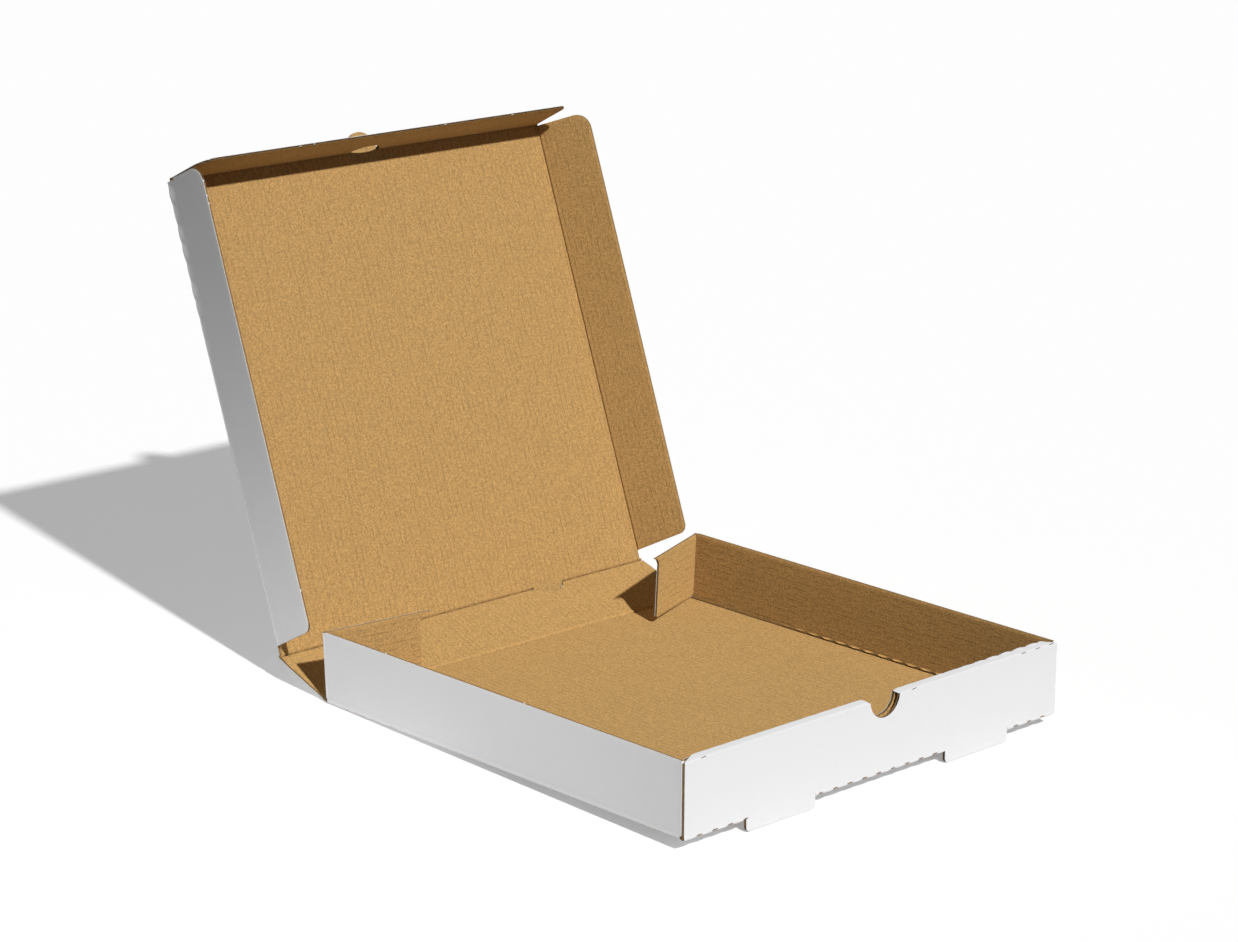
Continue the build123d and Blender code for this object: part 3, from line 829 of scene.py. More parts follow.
class PIZZABOX_OT_tray(bpy.types.Operator):
    """Make the tray's floor, its side walls and the creases between them"""
    bl_idname = "pizzabox.tray"
    bl_label = "Floor and side walls"

    def execute(self, context):
        self.floor(context)
        for side, label in SIDES:
            self.wall(context, side, label)
        return {"FINISHED"}

    def floor(self, context):
        board, tray = context.scene.pizza_board, context.scene.pizza_tray
        matrix = tray_frame()
        front = -tray.depth / 2
        bend, back = front + board.bead + STRIP, front + board.thickness + tray.foot_drop
        side, rear = tray.width / 2 - board.bead - WALL_STRIP, tray.depth / 2 - REAR_STRIP
        ring = [(-side, bend)]
        for low, high in feet_of(tray):
            ring += [(low, bend), (low, back), (high, back), (high, bend)]
        ring += [(side, bend), (side, rear), (-side, rear)]
        floor = sheet("tray_floor", ring, lambda p: to_world(matrix, p), (0, 0, 0, 0), middle_rows=5)
        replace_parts(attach(floor, "tray"), "tray")

    def wall(self, context, side, label):
        scene = context.scene
        board, tray, creases = scene.pizza_board, scene.pizza_tray, scene.pizza_creases
        matrix = tray_frame()
        half_width, front, rear = tray.width / 2, -tray.depth / 2, tray.depth / 2
        wall_front = front + board.thickness + tray.layer_gap + board.bead + CORNER
        dust_crease = rear - tray.rear_setback

        def lean_at(y):
            t = np.clip((y - wall_front) / (dust_crease - wall_front), 0, 1)
            return np.arctan(np.tan(tray.lean) * t)

        def place(points):
            h, y, w = points.T
            tilt = lean_at(y)
            x = half_width + h * np.tan(tilt) - w * np.cos(tilt)
            return to_world(matrix, xyz(side * x, y, h + w * np.sin(tilt)))
        foot, top, wall_rear = board.bead + WALL_STRIP, tray.side_height, dust_crease - DUST_STRIP
        ring = [(foot, wall_front), (top, wall_front), (top, wall_rear), (foot, wall_rear)]
        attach(sheet(f"tray_{label}_wall", ring, place, (0, 1, 0, 0), middle_rows=6), "tray")

        carrier = frame_of(matrix @ Vector((side * (half_width - board.bead), 0, board.bead)),
                           matrix.to_3x3() @ Vector((side, 0, 0)), matrix.col[2].xyz)
        sign = math.copysign(1, carrier.col[0].xyz.dot(matrix.col[1].xyz))
        bend = front + board.bead + STRIP
        stations = np.sort(sign * run(bend, rear - REAR_STRIP, breaks=(wall_front, dust_crease)))
        y = sign * stations
        hump_place = 1.6

        def teeth(x):
            """Humps between the cuts of the crease, and how much they show: less and less to the rear."""
            y = sign * x
            shown = ease((creases.wall_hump_end - y) / (0.8 * creases.wall_hump_end)) * (y > wall_front)
            return perforated(y, board.perforation) ** 2, shown

        def pressed(x, y):
            """Score along the corner, with the humps between its cuts standing up in front of it."""
            humps, shown = teeth(x)
            rise = creases.wall_hump * humps * shown * ridge(y, hump_place, 0.4)
            score = creases.wall_score * ridge(y, -1.75, 0.4)
            return groove(0.4 * WALL_STRIP, creases.wall_groove)(x, y) + rise - score

        def bruised(x, y):
            """Painted shade along the score and in the cuts, and painted highlight on the humps."""
            humps, shown = teeth(x)
            return 1.15 * ridge(y, -1.45, 0.6) + (0.7 - 1.6 * humps) * shown * ridge(y, hump_place, 0.45)
        reach = ((y > wall_front) & (y < dust_crease)).astype(float)
        # score: painted shade along the corner and in the cuts, painted highlight on the humps
        strip = crease(f"tray_{label}_crease", carrier, math.pi / 2 - lean_at(y), stations, WALL_STRIP,
                       pressed, reach=reach, turn=0.4, along_flutes=True, score=bruised)
        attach(strip, "tray")


class PIZZABOX_OT_front(bpy.types.Operator):
    """Make the rolled front: outer layer with its feet, fold over the top, inner layer and trapped flaps"""
    bl_idname = "pizzabox.front"
    bl_label = "Rolled front"

    def execute(self, context):
        self.outer_layer(context)
        self.inner_layer(context)
        for side, label in SIDES:
            self.corner_flap(context, side, label)
        self.foot_creases(context)
        self.roll_over(context)
        return {"FINISHED"}

    def sag(self, tray, x):
        """How far the fold over the top has sunk towards its ends."""
        return tray.sag * (1 - ease((tray.width / 2 - np.abs(x)) / tray.sag_run))

    def top_edge(self, tray, half):
        """Upper end of a layer from right to left: sagging corners and the finger notch."""
        tilt = math.asin(ROLL / tray.notch)
        corner = np.linspace(half, tray.width / 2 - tray.sag_run, 6)
        right = [(x, tray.front_height - ROLL - self.sag(tray, x)) for x in corner]
        arc = [(tray.notch_shift + tray.notch * math.cos(a), tray.front_height - tray.notch * math.sin(a))
               for a in np.linspace(tilt, math.pi - tilt, 25)]
        return right + arc + [(-x, z) for x, z in right[::-1]]

    def outer_layer(self, context):
        board, tray = context.scene.pizza_board, context.scene.pizza_tray
        half_width, bend = tray.width / 2, board.bead + STRIP
        ring = [(-half_width, bend)]
        for low, high in feet_of(tray):
            lower = [(x, -tray.foot_drop, tray.foot_corner) for x in (low, high)]
            foot = rounded([*lower, (high, bend, 0), (low, bend, 0)])[:-2]
            ring += [(low, bend), *foot, (high, bend)]
        ring += [(half_width, bend), *self.top_edge(tray, half_width)]
        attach(sheet("front_outer", ring, upright(-tray.depth / 2, 1), (0, 0, 0, 0)), "tray")

    def inner_layer(self, context):
        board, tray = context.scene.pizza_board, context.scene.pizza_tray
        low_end = board.thickness + tray.layer_gap
        inside = tray.width / 2 - low_end
        tip, slack = 0.3 * MM, 0.4 * MM
        ring = [(-inside, low_end)]
        for low, high in feet_of(tray):
            ring += [(low + slack, low_end), (low + slack, tip), (high - slack, tip), (high - slack, low_end)]
        ring += [(inside, low_end), *self.top_edge(tray, inside)]
        place = upright(tray.front_depth - tray.depth / 2, -1)
        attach(sheet("front_inner", ring, place, (1, 1, 1, 0)), "tray")

    def corner_flap(self, context, side, label):
        """End of a side wall that is trapped between the layers, and the sharp bend that leads to it."""
        scene = context.scene
        board, tray, creases = scene.pizza_board, scene.pizza_tray, scene.pizza_creases
        matrix, half_width = tray_frame(), tray.width / 2
        low_end = board.thickness + tray.layer_gap
        face = low_end - tray.depth / 2
        root, end = half_width - board.bead - CORNER, half_width - tray.corner_flap
        top = tray.front_height - low_end
        ring = [(low_end, root), (top, root), (top, end), (low_end, end)]
        flap = sheet(f"front_{label}_corner_flap", ring,
                     lambda p: to_world(matrix, xyz(side * p[:, 1], face + p[:, 2], p[:, 0])), (1, 1, 1, 0),
                     middle_rows=2)
        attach(flap, "tray")
        corner = matrix @ Vector((side * (half_width - board.bead), face + board.bead, 0))
        carrier = frame_of(corner, -matrix.col[1].xyz, matrix.to_3x3() @ Vector((-side, 0, 0)))
        up = math.copysign(1, carrier.col[0].xyz.dot(matrix.col[2].xyz))
        stations = np.sort(up * run(low_end, tray.side_height))
        strip = crease(f"front_{label}_corner_bend", carrier, math.pi / 2, stations, CORNER,
                       groove(CORNER, creases.corner_groove))
        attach(strip, "tray")

    def foot_creases(self, context):
        """Perforated creases under the outer layer, on each side of the feet."""
        scene = context.scene
        board, tray, creases = scene.pizza_board, scene.pizza_tray, scene.pizza_creases
        matrix = tray_frame()
        carrier = frame_of(matrix @ Vector((0, board.bead - tray.depth / 2, board.bead)), -matrix.col[1].xyz,
                           matrix.col[2].xyz)

        def humps(x, y):
            rise = creases.foot_hump * perforated(x, board.perforation) - creases.foot_sink
            return rise * bell(y / STRIP / 0.6)
        for k, (low, high) in enumerate(beside_feet(tray)):
            stations = np.sort(-run(low, high, step=0.5 * MM))
            strip = crease(f"front_bottom_crease_{k + 1}", carrier, math.pi / 2, stations, STRIP,
                           groove(STRIP, creases.corner_groove), outer=humps)
            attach(strip, "tray")

    def roll_over(self, context):
        """Strip that joins the two layers over the top, on each side of the notch."""
        scene = context.scene
        board, tray, creases = scene.pizza_board, scene.pizza_tray, scene.pizza_creases
        front, inner_face = -tray.depth / 2, tray.front_depth - tray.depth / 2
        cap = tray.front_height - ROLL
        turn = np.linspace(0, math.pi / 2, 6)
        flat = np.linspace(front + ROLL, inner_face - ROLL, 7)[1:-1]
        outside = [(front + ROLL * (1 - math.cos(a)), cap + ROLL * math.sin(a)) for a in turn]
        outside += [(y, cap + ROLL) for y in flat]
        outside += [(inner_face - ROLL * (1 - math.sin(a)), cap + ROLL * math.cos(a)) for a in turn]
        y, z = np.array(outside).T
        back = (y - front) / (inner_face - front)
        height = (z - cap) / ROLL
        z = z + tray.roll_rise * (back - 0.5) * height
        crest = bell((y - inner_face + ROLL) / (1.1 * MM)) * height
        middle = (front + inner_face) / 2
        inside_y, inside_z = middle + (y - middle) * 0.4, cap - 0.1 * MM
        edge = math.sqrt(tray.notch ** 2 - ROLL ** 2)
        half, shift = tray.width / 2, tray.notch_shift
        ends = half - tray.roll_taper * ease(back)
        for k, (low, high) in enumerate(((-half, shift - edge), (shift + edge, half))):
            along = run(low, high, step=0.5 * MM)[:, None]
            spread = 0.15 + 0.85 * ease((along - creases.roll_start) / creases.roll_run)
            lift = (creases.roll_hump * perforated(along, board.perforation) - creases.roll_sink) * spread
            pressed = creases.notch_sink * bell((np.abs(along - shift) - edge) / (1.5 * MM))
            x = np.clip(along, -ends, ends)
            sag = self.sag(tray, x)
            layers = np.stack([xyz(x, y, z - sag + lift * crest - pressed * height),
                               xyz(x, inside_y, inside_z - sag)])
            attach(shell(f"front_roll_{k + 1}", tray_frame(), layers, layers[..., [0, 2, 1]]), "tray")


class PIZZABOX_OT_rear_wall(bpy.types.Operator):
    """Make the rear wall between the floor and the lid, with the holes of its two half-moons"""
    bl_idname = "pizzabox.rear_wall"
    bl_label = "Rear wall"

    def execute(self, context):
        scene = context.scene
        board, lid, creases = scene.pizza_board, scene.pizza_lid, scene.pizza_creases
        matrix = panel_frame("rear_wall")
        low, high = local_box("rear_wall", matrix)
        length = crease_distance("rear_wall", "lid_panel")
        top, shoulder = length - STRIP, length - lid.shoulder
        crease_half = context.scene.pizza_tray.width / 2 - board.thickness
        hole = half_moon(lid.vent_width + 2 * lid.cut_gap, -lid.vent_reach - lid.cut_gap)
        ring = [(low[0], REAR_STRIP), (high[0], REAR_STRIP), (high[0], shoulder), (crease_half, top)]
        for middle in (lid.vent_offset, -lid.vent_offset):
            ring += [(middle + x, min(top, length + y)) for x, y in hole[::-1]]
        ring += [(-crease_half, top), (low[0], shoulder)]
        wall = sheet("rear_wall_board", ring, flat_on(matrix), (1, 1, 0, 0))
        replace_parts(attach(wall, "rear_wall"), "rear_wall")
        ridge_place, valley_place = 0.2, -1.3

        def pressed(x, y):
            """Ridge of crushed board along the crease, with a valley in front of it."""
            rise = (creases.rear_ridge + creases.rear_ripple * flute_ripple(x)) * ridge(y, ridge_place, 0.65)
            return rise - creases.rear_valley * ridge(y, valley_place, 0.45)

        def bruised(x, y):
            """Painted shade in the valley, and painted highlight on the ridge."""
            return 0.3 * ridge(y, valley_place, 0.4) - 0.2 * ridge(y, ridge_place, 0.65)
        # score: painted shade in the valley and painted highlight on the ridge
        hinge_crease("rear_wall", "tray", tray_frame().col[1].xyz, [flute_run(low[0], high[0])], REAR_STRIP,
                     pressed, score=bruised)
        return {"FINISHED"}


class PIZZABOX_OT_lid(bpy.types.Operator):
    """Make the lid panel with its three half-moons, and its crease on the rear wall"""
    bl_idname = "pizzabox.lid"
    bl_label = "Lid panel"

    def execute(self, context):
        board, lid = context.scene.pizza_board, context.scene.pizza_lid
        length = crease_distance("lid_panel", "lid_front_flap")
        edge = crease_distance("lid_left_flap", "lid_right_flap") / 2 - STRIP
        top = length - STRIP
        moon = half_moon(lid.vent_width, -lid.vent_reach)
        tab = half_moon(lid.tab_width, lid.tab_reach)
        ring = [(-edge, STRIP)]
        for middle in (-lid.vent_offset, lid.vent_offset):
            ring += [(middle - lid.vent_width / 2, STRIP), *[(middle + x, y) for x, y in moon],
                     (middle + lid.vent_width / 2, STRIP)]
        ring += [(edge, STRIP), (edge, top), (lid.tab_width / 2, top),
                 *[(x, length + y) for x, y in tab[::-1]], (-lid.tab_width / 2, top), (-edge, top)]
        panel = sheet("lid_board", ring, flat_on(panel_frame("lid_panel")), (0, 0, 0, 0), middle_rows=5)
        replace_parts(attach(panel, "lid_panel"), "lid_panel")

        crease_half = context.scene.pizza_tray.width / 2 - board.thickness
        near, far = (lid.vent_offset + side * (lid.vent_width / 2 + lid.cut_gap) for side in (LEFT, RIGHT))
        spans = [flute_run(*span) for span in ((-crease_half, -far), (-near, near), (far, crease_half))]
        # painted shade along the lid's crease on the rear wall
        hinge_crease("lid_panel", "rear_wall", panel_frame("rear_wall").col[1].xyz, spans, STRIP,
                     fluted_groove(STRIP), score=dark_line(0.8, 0.35 * MM))
        return {"FINISHED"}


class PIZZABOX_OT_lid_flaps(bpy.types.Operator):
    """Make the lid's side flaps and front flap, with their creases"""
    bl_idname = "pizzabox.lid_flaps"
    bl_label = "Lid flaps"

    def execute(self, context):
        for side, label in SIDES:
            self.side_flap(context, side, f"lid_{label}_flap")
        self.front_flap(context)
        return {"FINISHED"}

    def side_flap(self, context, side, name):
        scene = context.scene
        board, lid, creases = scene.pizza_board, scene.pizza_lid, scene.pizza_creases
        lid_matrix, matrix = panel_frame("lid_panel"), panel_frame(name)
        length = crease_distance("lid_panel", "lid_front_flap")
        reach = local_box(name, matrix)[1][1]
        start = (matrix.inverted() @ lid_matrix.col[3].xyz).x
        forward = math.copysign(1, (matrix.inverted().to_3x3() @ lid_matrix.col[1].xyz).x)

        def at(distance):
            """Station on the flap's crease at a distance from the lid's rear crease."""
            return start + forward * distance
        gap, lead = (lid.flap_front_left, lid.flap_lead) if side == LEFT else (lid.flap_front_right, 0)
        rear, slant = at(lid.flap_rear), at(lid.flap_rear + lid.flap_slant)
        front, tip = at(length - gap), at(length - gap + lead)

        def ends_at(y):
            """Rear and front end of the flap at a distance from its crease."""
            return rear + (slant - rear) * y / reach, front + (tip - front) * y / reach
        root_rear, root_front = ends_at(FLAP_ROOT)
        ring = rounded([(FLAP_ROOT, root_rear, 0), (reach, slant, lid.flap_rear_corner),
                        (reach, tip, lid.flap_front_corner), (FLAP_ROOT, root_front, 0)])
        flap = sheet(f"{name}_board", ring, flat_on(matrix, flutes_along_x=True), (0, 1, 1, 1))
        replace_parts(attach(flap, name), name)

        def bow(x, y):
            """Scallops on the white side between the cuts, fading along the crease and away from it."""
            from_front = np.abs(x - at(length))
            spread = ease((creases.flap_bow_reach - from_front) / creases.flap_bow_fade)
            spread = spread * ease(from_front / creases.flap_bow_start)
            side_on = np.where(y > 0, bell(y / (0.45 * FLAP_ROOT)), bell(y / (0.6 * STRIP)))
            uneven = 0.75 + 0.25 * np.sin(x / (4.3 * MM))
            humps = creases.flap_bow * uneven * perforated(x, board.perforation)
            return (humps - creases.flap_sink) * spread * side_on

        def slanted(x, y):
            ends = ends_at(y)
            return np.clip(x, np.minimum(*ends), np.maximum(*ends))

        def pressed(x, y):
            return groove(STRIP, creases.flap_groove)(x, y) - creases.flap_dent * ridge(y, 3.0, 0.45)
        stations = run(*sorted((at(STRIP), at(length - STRIP))), breaks=(rear, front))
        outward = lid_matrix.to_3x3() @ Vector((side, 0, 0))
        # faint painted shade along the flap's crease
        hinge_crease(name, "lid_panel", outward, [stations], STRIP, pressed, outer=bow, root=FLAP_ROOT,
                     along_flutes=True, trim=slanted, score=dark_line(0.1, 0.4 * MM),
                     reach=lambda x: ((x > min(rear, front)) & (x < max(rear, front))).astype(float))

    def front_flap(self, context):
        lid = context.scene.pizza_lid
        name = "lid_front_flap"
        matrix = panel_frame(name)
        low, high = local_box(name, matrix)
        left, right, reach = low[0] + lid.front_left_inset, high[0], high[1]
        hole = half_moon(lid.tab_width + 2 * lid.cut_gap, lid.tab_reach + lid.cut_gap)
        ring = rounded([(right, STRIP, 0), (right - lid.front_taper, reach, lid.front_right_corner),
                        (left + lid.front_left_taper, reach, lid.front_left_corner), (left, STRIP, 0)])
        ring += [(x, max(y, STRIP)) for x, y in hole]
        flap = sheet(f"{name}_board", ring, flat_on(matrix), (1, 1, 0, 1))
        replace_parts(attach(flap, name), name)
        gap = lid.tab_width / 2 + lid.cut_gap
        # painted shade along the front flap's crease
        hinge_crease(name, "lid_panel", panel_frame("lid_panel").col[1].xyz,
                     [flute_run(left, -gap), flute_run(gap, right)], STRIP, fluted_groove(STRIP),
                     score=dark_line(0.5, 0.4 * MM))


class PIZZABOX_OT_dust_flaps(bpy.types.Operator):
    """Make the two hooked dust flaps at the rear ends of the side walls"""
    bl_idname = "pizzabox.dust_flaps"
    bl_label = "Dust flaps"

    def execute(self, context):
        for _, label in SIDES:
            self.flap(context, f"{label}_dust_flap")
        return {"FINISHED"}

    def flap(self, context, name):
        board, lid = context.scene.pizza_board, context.scene.pizza_lid
        matrix = panel_frame(name)
        low, high = local_box(name, matrix)
        up = math.copysign(1, matrix.col[0].z)
        base, top = (low[0], high[0]) if up > 0 else (high[0], low[0])
        free_edge = high[1] - lid.hook_reach
        point = np.array((top - up * lid.hook_drop, high[1]))
        throat = np.array((top - up * lid.hook_depth, free_edge))
        control = (point + throat) / 2 + 2 * lid.hook_hollow * np.array((up, -1))
        hook = [(1 - t) ** 2 * throat + 2 * t * (1 - t) * control + t * t * point
                for t in np.linspace(0, 1, 9)]
        ring = rounded([(top, DUST_STRIP, 0), (base, DUST_STRIP, 0), (base, free_edge, lid.dust_corner),
                        *[(x, y, 0) for x, y in hook]])
        flap = sheet(f"{name}_board", ring, flat_on(matrix), (1, 1, 0, 1), middle_rows=3)
        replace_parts(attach(flap, name), name)
        # painted shade in the corner between the dust flap and the side wall
        hinge_crease(name, "tray", tray_frame().col[1].xyz, [flute_run(*sorted((base, top)))], DUST_STRIP,
                     fluted_groove(0.6 * DUST_STRIP), turn=0.6,
                     score=dark_line(1.0, 0.45 * MM, board.thickness - board.bead))


def tube_quads(rings, sides):
    """Quads between rings of points that follow each other."""
    k, j = np.meshgrid(np.arange(rings - 1), np.arange(sides), indexing="ij")
    a, b = sides * k + j, sides * k + (j + 1) % sides
    return np.stack([a, b, b + sides, a + sides], axis=-1).reshape(-1, 4)


def lens(centre, along, up, out, length, opening, depth):
    """Points and quads of a narrow pointed cut in a face, a little proud of it."""
    centre, along, up, out = (np.array(v) for v in (centre, along, up, out))
    t = np.linspace(-1, 1, 11)[:, None]
    swell = opening * (1 - t * t) * up
    line = centre + t * along * length / 2
    face = line + 2 * HAIR * out
    points = np.stack([face + swell, face - swell, line - depth * out], axis=1).reshape(-1, 3)
    return points, tube_quads(len(t), 3)


def tuft(centre, along, up, out, length, seed):
    """Points and quads of a torn bit of liner left where the blank was held in its sheet."""
    centre, along, up, out = (np.array(v) for v in (centre, along, up, out))
    sides, rings = 8, 7
    around = np.linspace(0, 2 * math.pi, sides + 1)[:-1]
    points = []
    for k, t in enumerate(np.linspace(-1, 1, rings)):
        ragged = 0.7 + 0.3 * math.sin(2.3 * k + seed)
        radius = length * 0.3 * math.sqrt(max(0.02, 1 - t * t)) * ragged
        middle = centre + t * length / 2 * along
        points += [middle + radius * (math.cos(a) * up + 0.8 * math.sin(a + 0.4 * k) * out) for a in around]
    cap = np.array([[0, 1, 2, 3], [0, 3, 4, 7], [4, 5, 6, 7]])
    return np.array(points), np.concatenate([tube_quads(rings, sides), cap, cap + sides * (rings - 1)])


def gather(name, matrix, bits, material=None):
    """One piece from many small ones."""
    points, quads, start = [], [], 0
    for some_points, some_quads in bits:
        points.append(some_points)
        quads.append(some_quads + start)
        start += len(some_points)
    points, quads = np.concatenate(points), np.concatenate(quads)
    piece = make_piece(name, to_world(matrix, points), quads, np.full(len(quads), WHITE), points)
    if material:
        piece.data.materials.clear()
        piece.data.materials.append(material)
    return piece


def places(text):
    return [float(word) * MM for word in text.split()]


class PIZZABOX_OT_slits(bpy.types.Operator):
    """Make the perforation cuts that show on the front, below its top edge and along its foot"""
    bl_idname = "pizzabox.slits"
    bl_label = "Perforation slits"

    top_places: StringProperty(
        name="Top places", description="Middle of each cut below the top edge, in millimetres",
        default="-115.5 23.2 102 112.4 122.6")
    top_drop: size("Top drop", 0.6, "Top edge to the cuts below it")
    top_length: size("Top length", 3.8, "Length of those cuts")
    top_opening: size("Top opening", 0.22, "Half of the width to which they stand open")
    foot_level: size("Foot level", 0.75, "Floor's underside to the cuts along the foot")
    foot_length: size("Foot length", 4.4, "Mean length of those cuts")
    foot_spread: size("Foot spread", 1.0, "How much longer or shorter they are")
    foot_opening: size("Foot opening", 0.3, "Half of the width to which they stand open")
    foot_proud: size("Foot proud", 0.12, "How far the crease stands out at the foot")
    depth: size("Depth", 0.3, "Depth of a cut")

    def execute(self, context):
        tray, period = context.scene.pizza_tray, context.scene.pizza_board.perforation
        front, along, up, out = -tray.depth / 2, (1, 0, 0), (0, 0, 1), (0, -1, 0)
        level, slant = tray.front_height - self.top_drop, (1, 0, 0.06)
        bits = [lens((x, front, level), slant, up, out, self.top_length, self.top_opening, self.depth)
                for x in places(self.top_places)]
        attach(gather("front_slits", tray_frame(), bits, slit_shadow()), "tray")
        bits = []
        for low, high in beside_feet(tray):
            for k in range(math.ceil(low / period), math.floor(high / period) + 1):
                middle = (k * period, front - self.foot_proud, self.foot_level)
                length = self.foot_length + self.foot_spread * math.sin(5.0 * k)
                bits.append(lens(middle, along, up, out, length, self.foot_opening, self.depth))
        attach(gather("front_bottom_cuts", tray_frame(), bits, fluted_medium()), "tray")
        return {"FINISHED"}


class PIZZABOX_OT_nicks(bpy.types.Operator):
    """Make the torn nicks that held the blank in its sheet"""
    bl_idname = "pizzabox.nicks"
    bl_label = "Torn nicks"

    flap_places: StringProperty(
        name="Left flap places", description="Nicks behind the left flap's front end, in millimetres",
        default="5 12.5 16.5 213")
    front_places: StringProperty(
        name="Front flap places", description="Nicks across the front flap's free edge, in millimetres",
        default="-118 -60 -51 37 84")
    wall_places: StringProperty(
        name="Left wall places", description="Nicks along the left wall's top edge, in millimetres",
        default="78 -21")
    length: size("Length", 1.5, "Length of a nick")
    front_length: size("Front length", 1.6, "Length of a nick on the front flap")
    flap_shift: size("Flap shift", 0.4, "How far the left flap's nicks lie towards its white face")

    def execute(self, context):
        board, tray = context.scene.pizza_board, context.scene.pizza_tray
        x_axis, y_axis, z_axis = np.eye(3)
        middle = board.thickness / 2 - board.bead
        matrix = panel_frame("lid_left_flap")
        low, high = local_box("lid_left_flap", matrix)
        front, back = (high[0], -1) if matrix.col[0].z > 0 else (low[0], 1)
        level = middle - self.flap_shift
        bits = [tuft((front + back * d, high[1], level), x_axis, y_axis, z_axis, self.length, k)
                for k, d in enumerate(places(self.flap_places))]
        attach(gather("lid_left_flap_nicks", matrix, bits), "lid_left_flap")
        matrix = panel_frame("lid_front_flap")
        edge = local_box("lid_front_flap", matrix)[1][1]
        bits = [tuft((x, edge, middle), x_axis, y_axis, z_axis, self.front_length, k)
                for k, x in enumerate(places(self.front_places))]
        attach(gather("lid_front_flap_nicks", matrix, bits), "lid_front_flap")
        bits = []
        for k, y in enumerate(places(self.wall_places)):
            lean = tray.side_height * math.tan(tray.lean) * (0.5 + y / tray.depth)
            top = (board.thickness / 2 - tray.width / 2 - lean, y, tray.side_height)
            bits.append(tuft(top, y_axis, z_axis, x_axis, self.length, k))
        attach(gather("tray_left_wall_nicks", tray_frame(), bits), "tray")
        return {"FINISHED"}


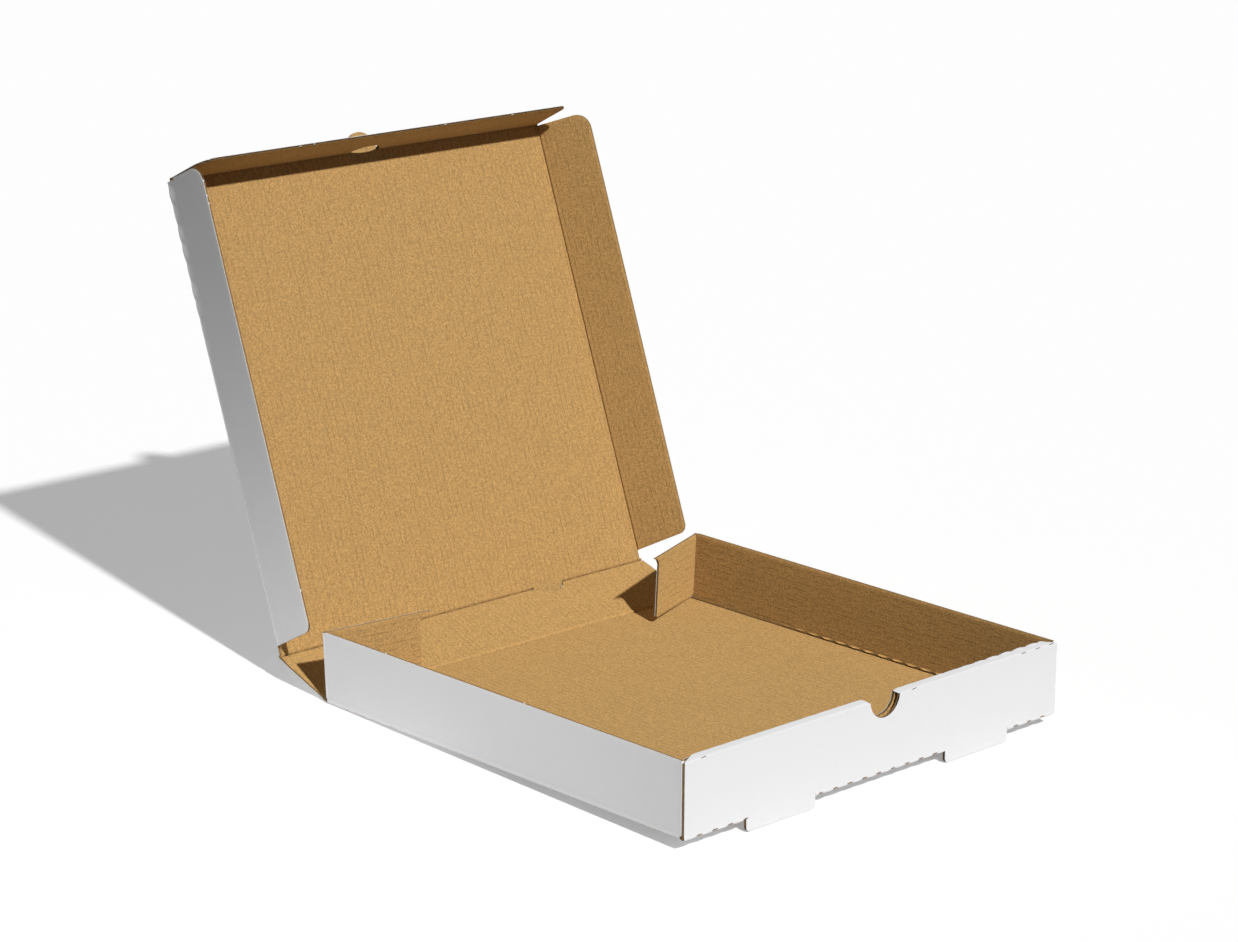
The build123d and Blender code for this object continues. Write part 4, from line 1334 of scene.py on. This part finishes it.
class PIZZABOX_OT_stage(bpy.types.Operator):
    """Set the pale floor, the light and the camera"""
    bl_idname = "pizzabox.stage"
    bl_label = "Stage"

    def execute(self, context):
        stage = context.scene.pizza_stage
        self.camera(context, stage)
        self.key_light(context, stage)
        self.fill_light(context, stage)
        self.floor(context, stage)
        self.sky(context, stage)
        context.scene.view_settings.view_transform = "Standard"
        return {"FINISHED"}

    def camera(self, context, stage):
        data = bpy.data.cameras.new("camera")
        data.lens = stage.lens
        data.sensor_width = 36
        data.sensor_fit = "HORIZONTAL"
        data.shift_x, data.shift_y = stage.lens_shift
        data.dof.use_dof = False
        eye = bpy.data.objects.new("camera", data)
        axes = Matrix((stage.eye_right, stage.eye_up, stage.eye_back)).transposed()
        eye.matrix_world = Matrix.Translation(stage.eye) @ axes.to_4x4()
        context.scene.collection.objects.link(eye)
        context.scene.camera = eye

    def key_light(self, context, stage):
        data = bpy.data.lights.new("key", "SUN")
        data.energy = stage.sun
        data.angle = stage.sun_size
        key = bpy.data.objects.new("key", data)
        travel = Vector(stage.sun_travel)
        key.rotation_euler = travel.to_track_quat("-Z", "Y").to_euler()
        key.location = -2 * travel
        context.scene.collection.objects.link(key)

    def fill_light(self, context, stage):
        data = bpy.data.lights.new("fill", "AREA")
        data.shape = "RECTANGLE"
        data.size, data.size_y = stage.fill_width, stage.fill_height
        data.spread = stage.fill_spread
        data.energy = stage.fill
        fill = bpy.data.objects.new("fill", data)
        fill.location = stage.fill_place
        fill.rotation_euler = Vector((1, 0, 0)).to_track_quat("-Z", "Y").to_euler()
        fill.visible_camera = False
        context.scene.collection.objects.link(fill)

    def floor(self, context, stage):
        """Pale floor: it gives back light near the box, and shows white apart from the shadow."""
        shape = bmesh.new()
        bmesh.ops.create_circle(shape, cap_ends=True, segments=96, radius=stage.floor_radius)
        mesh = bpy.data.meshes.new("floor")
        shape.to_mesh(mesh)
        shape.free()
        floor = bpy.data.objects.new("floor", mesh)
        floor.location.z = -stage.floor_drop
        context.scene.collection.objects.link(floor)
        material = bpy.data.materials.new("pale_floor")
        material.use_nodes = True
        w = Wiring(material.node_tree)
        w.tree.nodes.clear()
        here = w.add("ShaderNodeNewGeometry").outputs["Position"]
        away = w.add("ShaderNodeVectorMath", {"operation": "LENGTH"}, Vector=here).outputs["Value"]
        from_front = w.add("ShaderNodeVectorMath", {"operation": "DISTANCE"}, Vector=here)
        from_front.inputs[1].default_value = (0, cad_box[0][1], 0)
        at_front = w.span(from_front.outputs["Value"], stage.contact_near, stage.contact_far, 1.0, 0.0)
        near = w.math("MULTIPLY", w.span(away, stage.bounce_near, stage.bounce_far, 1.0, 0.0),
                      w.span(at_front, 0.0, 1.0, 1.0, stage.bounce_front))
        bounce = w.mix(near, (*[c * stage.bounce_rest for c in stage.floor], 1), (*stage.floor, 1))
        plain = w.add("ShaderNodeBsdfDiffuse", None, Color=bounce)
        depth = w.span(at_front, 0.0, 1.0, stage.shadow_depth, 1.0)
        shadowed = w.add("ShaderNodeBsdfDiffuse", None, Color=w.mix(depth, (0, 0, 0, 1), (1, 1, 1, 1)))
        rest = w.math("SUBTRACT", 1.0, w.math("MULTIPLY", depth, stage.floor_lit))
        glow = w.add("ShaderNodeEmission", None, Color=(1, 1, 1, 1), Strength=rest)
        white = w.add("ShaderNodeAddShader")
        w.feed(white.inputs[0], shadowed.outputs[0])
        w.feed(white.inputs[1], glow.outputs[0])
        w.choose(seen_directly(w), plain, white, "ShaderNodeOutputMaterial")
        mesh.materials.append(material)

    def sky(self, context, stage):
        """Even light from all round, behind which the camera sees plain white."""
        world = bpy.data.worlds.new("sky")
        world.use_nodes = True
        w = Wiring(world.node_tree)
        w.tree.nodes.clear()
        light = w.add("ShaderNodeBackground", None, Color=(1, 1, 1, 1), Strength=stage.sky)
        plain = w.add("ShaderNodeBackground", None, Color=(1, 1, 1, 1), Strength=1.0)
        w.choose(seen_directly(w), light, plain, "ShaderNodeOutputWorld")
        context.scene.world = world


class PIZZABOX_PT_panel(bpy.types.Panel):
    """Steps that dress the box"""
    bl_idname = "PIZZABOX_PT_panel"
    bl_label = "Pizza box"
    bl_space_type = "VIEW_3D"
    bl_region_type = "UI"
    bl_category = "Pizza box"

    def draw(self, context):
        for operator in OPERATORS:
            self.layout.operator(operator.bl_idname)


OPERATORS = (PIZZABOX_OT_tray, PIZZABOX_OT_front, PIZZABOX_OT_rear_wall, PIZZABOX_OT_lid,
             PIZZABOX_OT_lid_flaps, PIZZABOX_OT_dust_flaps, PIZZABOX_OT_slits, PIZZABOX_OT_nicks,
             PIZZABOX_OT_stage)
SETTINGS = {"pizza_board": BoardSettings, "pizza_tray": TraySettings, "pizza_lid": LidSettings,
            "pizza_creases": CreaseSettings, "pizza_stage": StageSettings}


def register():
    for name, settings in SETTINGS.items():
        bpy.utils.register_class(settings)
        setattr(bpy.types.Scene, name, PointerProperty(type=settings))
    for cls in (*OPERATORS, PIZZABOX_PT_panel):
        bpy.utils.register_class(cls)


def unregister():
    for cls in (PIZZABOX_PT_panel, *reversed(OPERATORS)):
        bpy.utils.unregister_class(cls)
    for name, settings in SETTINGS.items():
        delattr(bpy.types.Scene, name)
        bpy.utils.unregister_class(settings)


def main():
    register()
    make = bpy.ops.pizzabox
    for step in (make.tray, make.front, make.rear_wall, make.lid, make.lid_flaps, make.dust_flaps, make.slits,
                 make.nicks, make.stage):
        step()


if __name__ == "__main__":
    main()
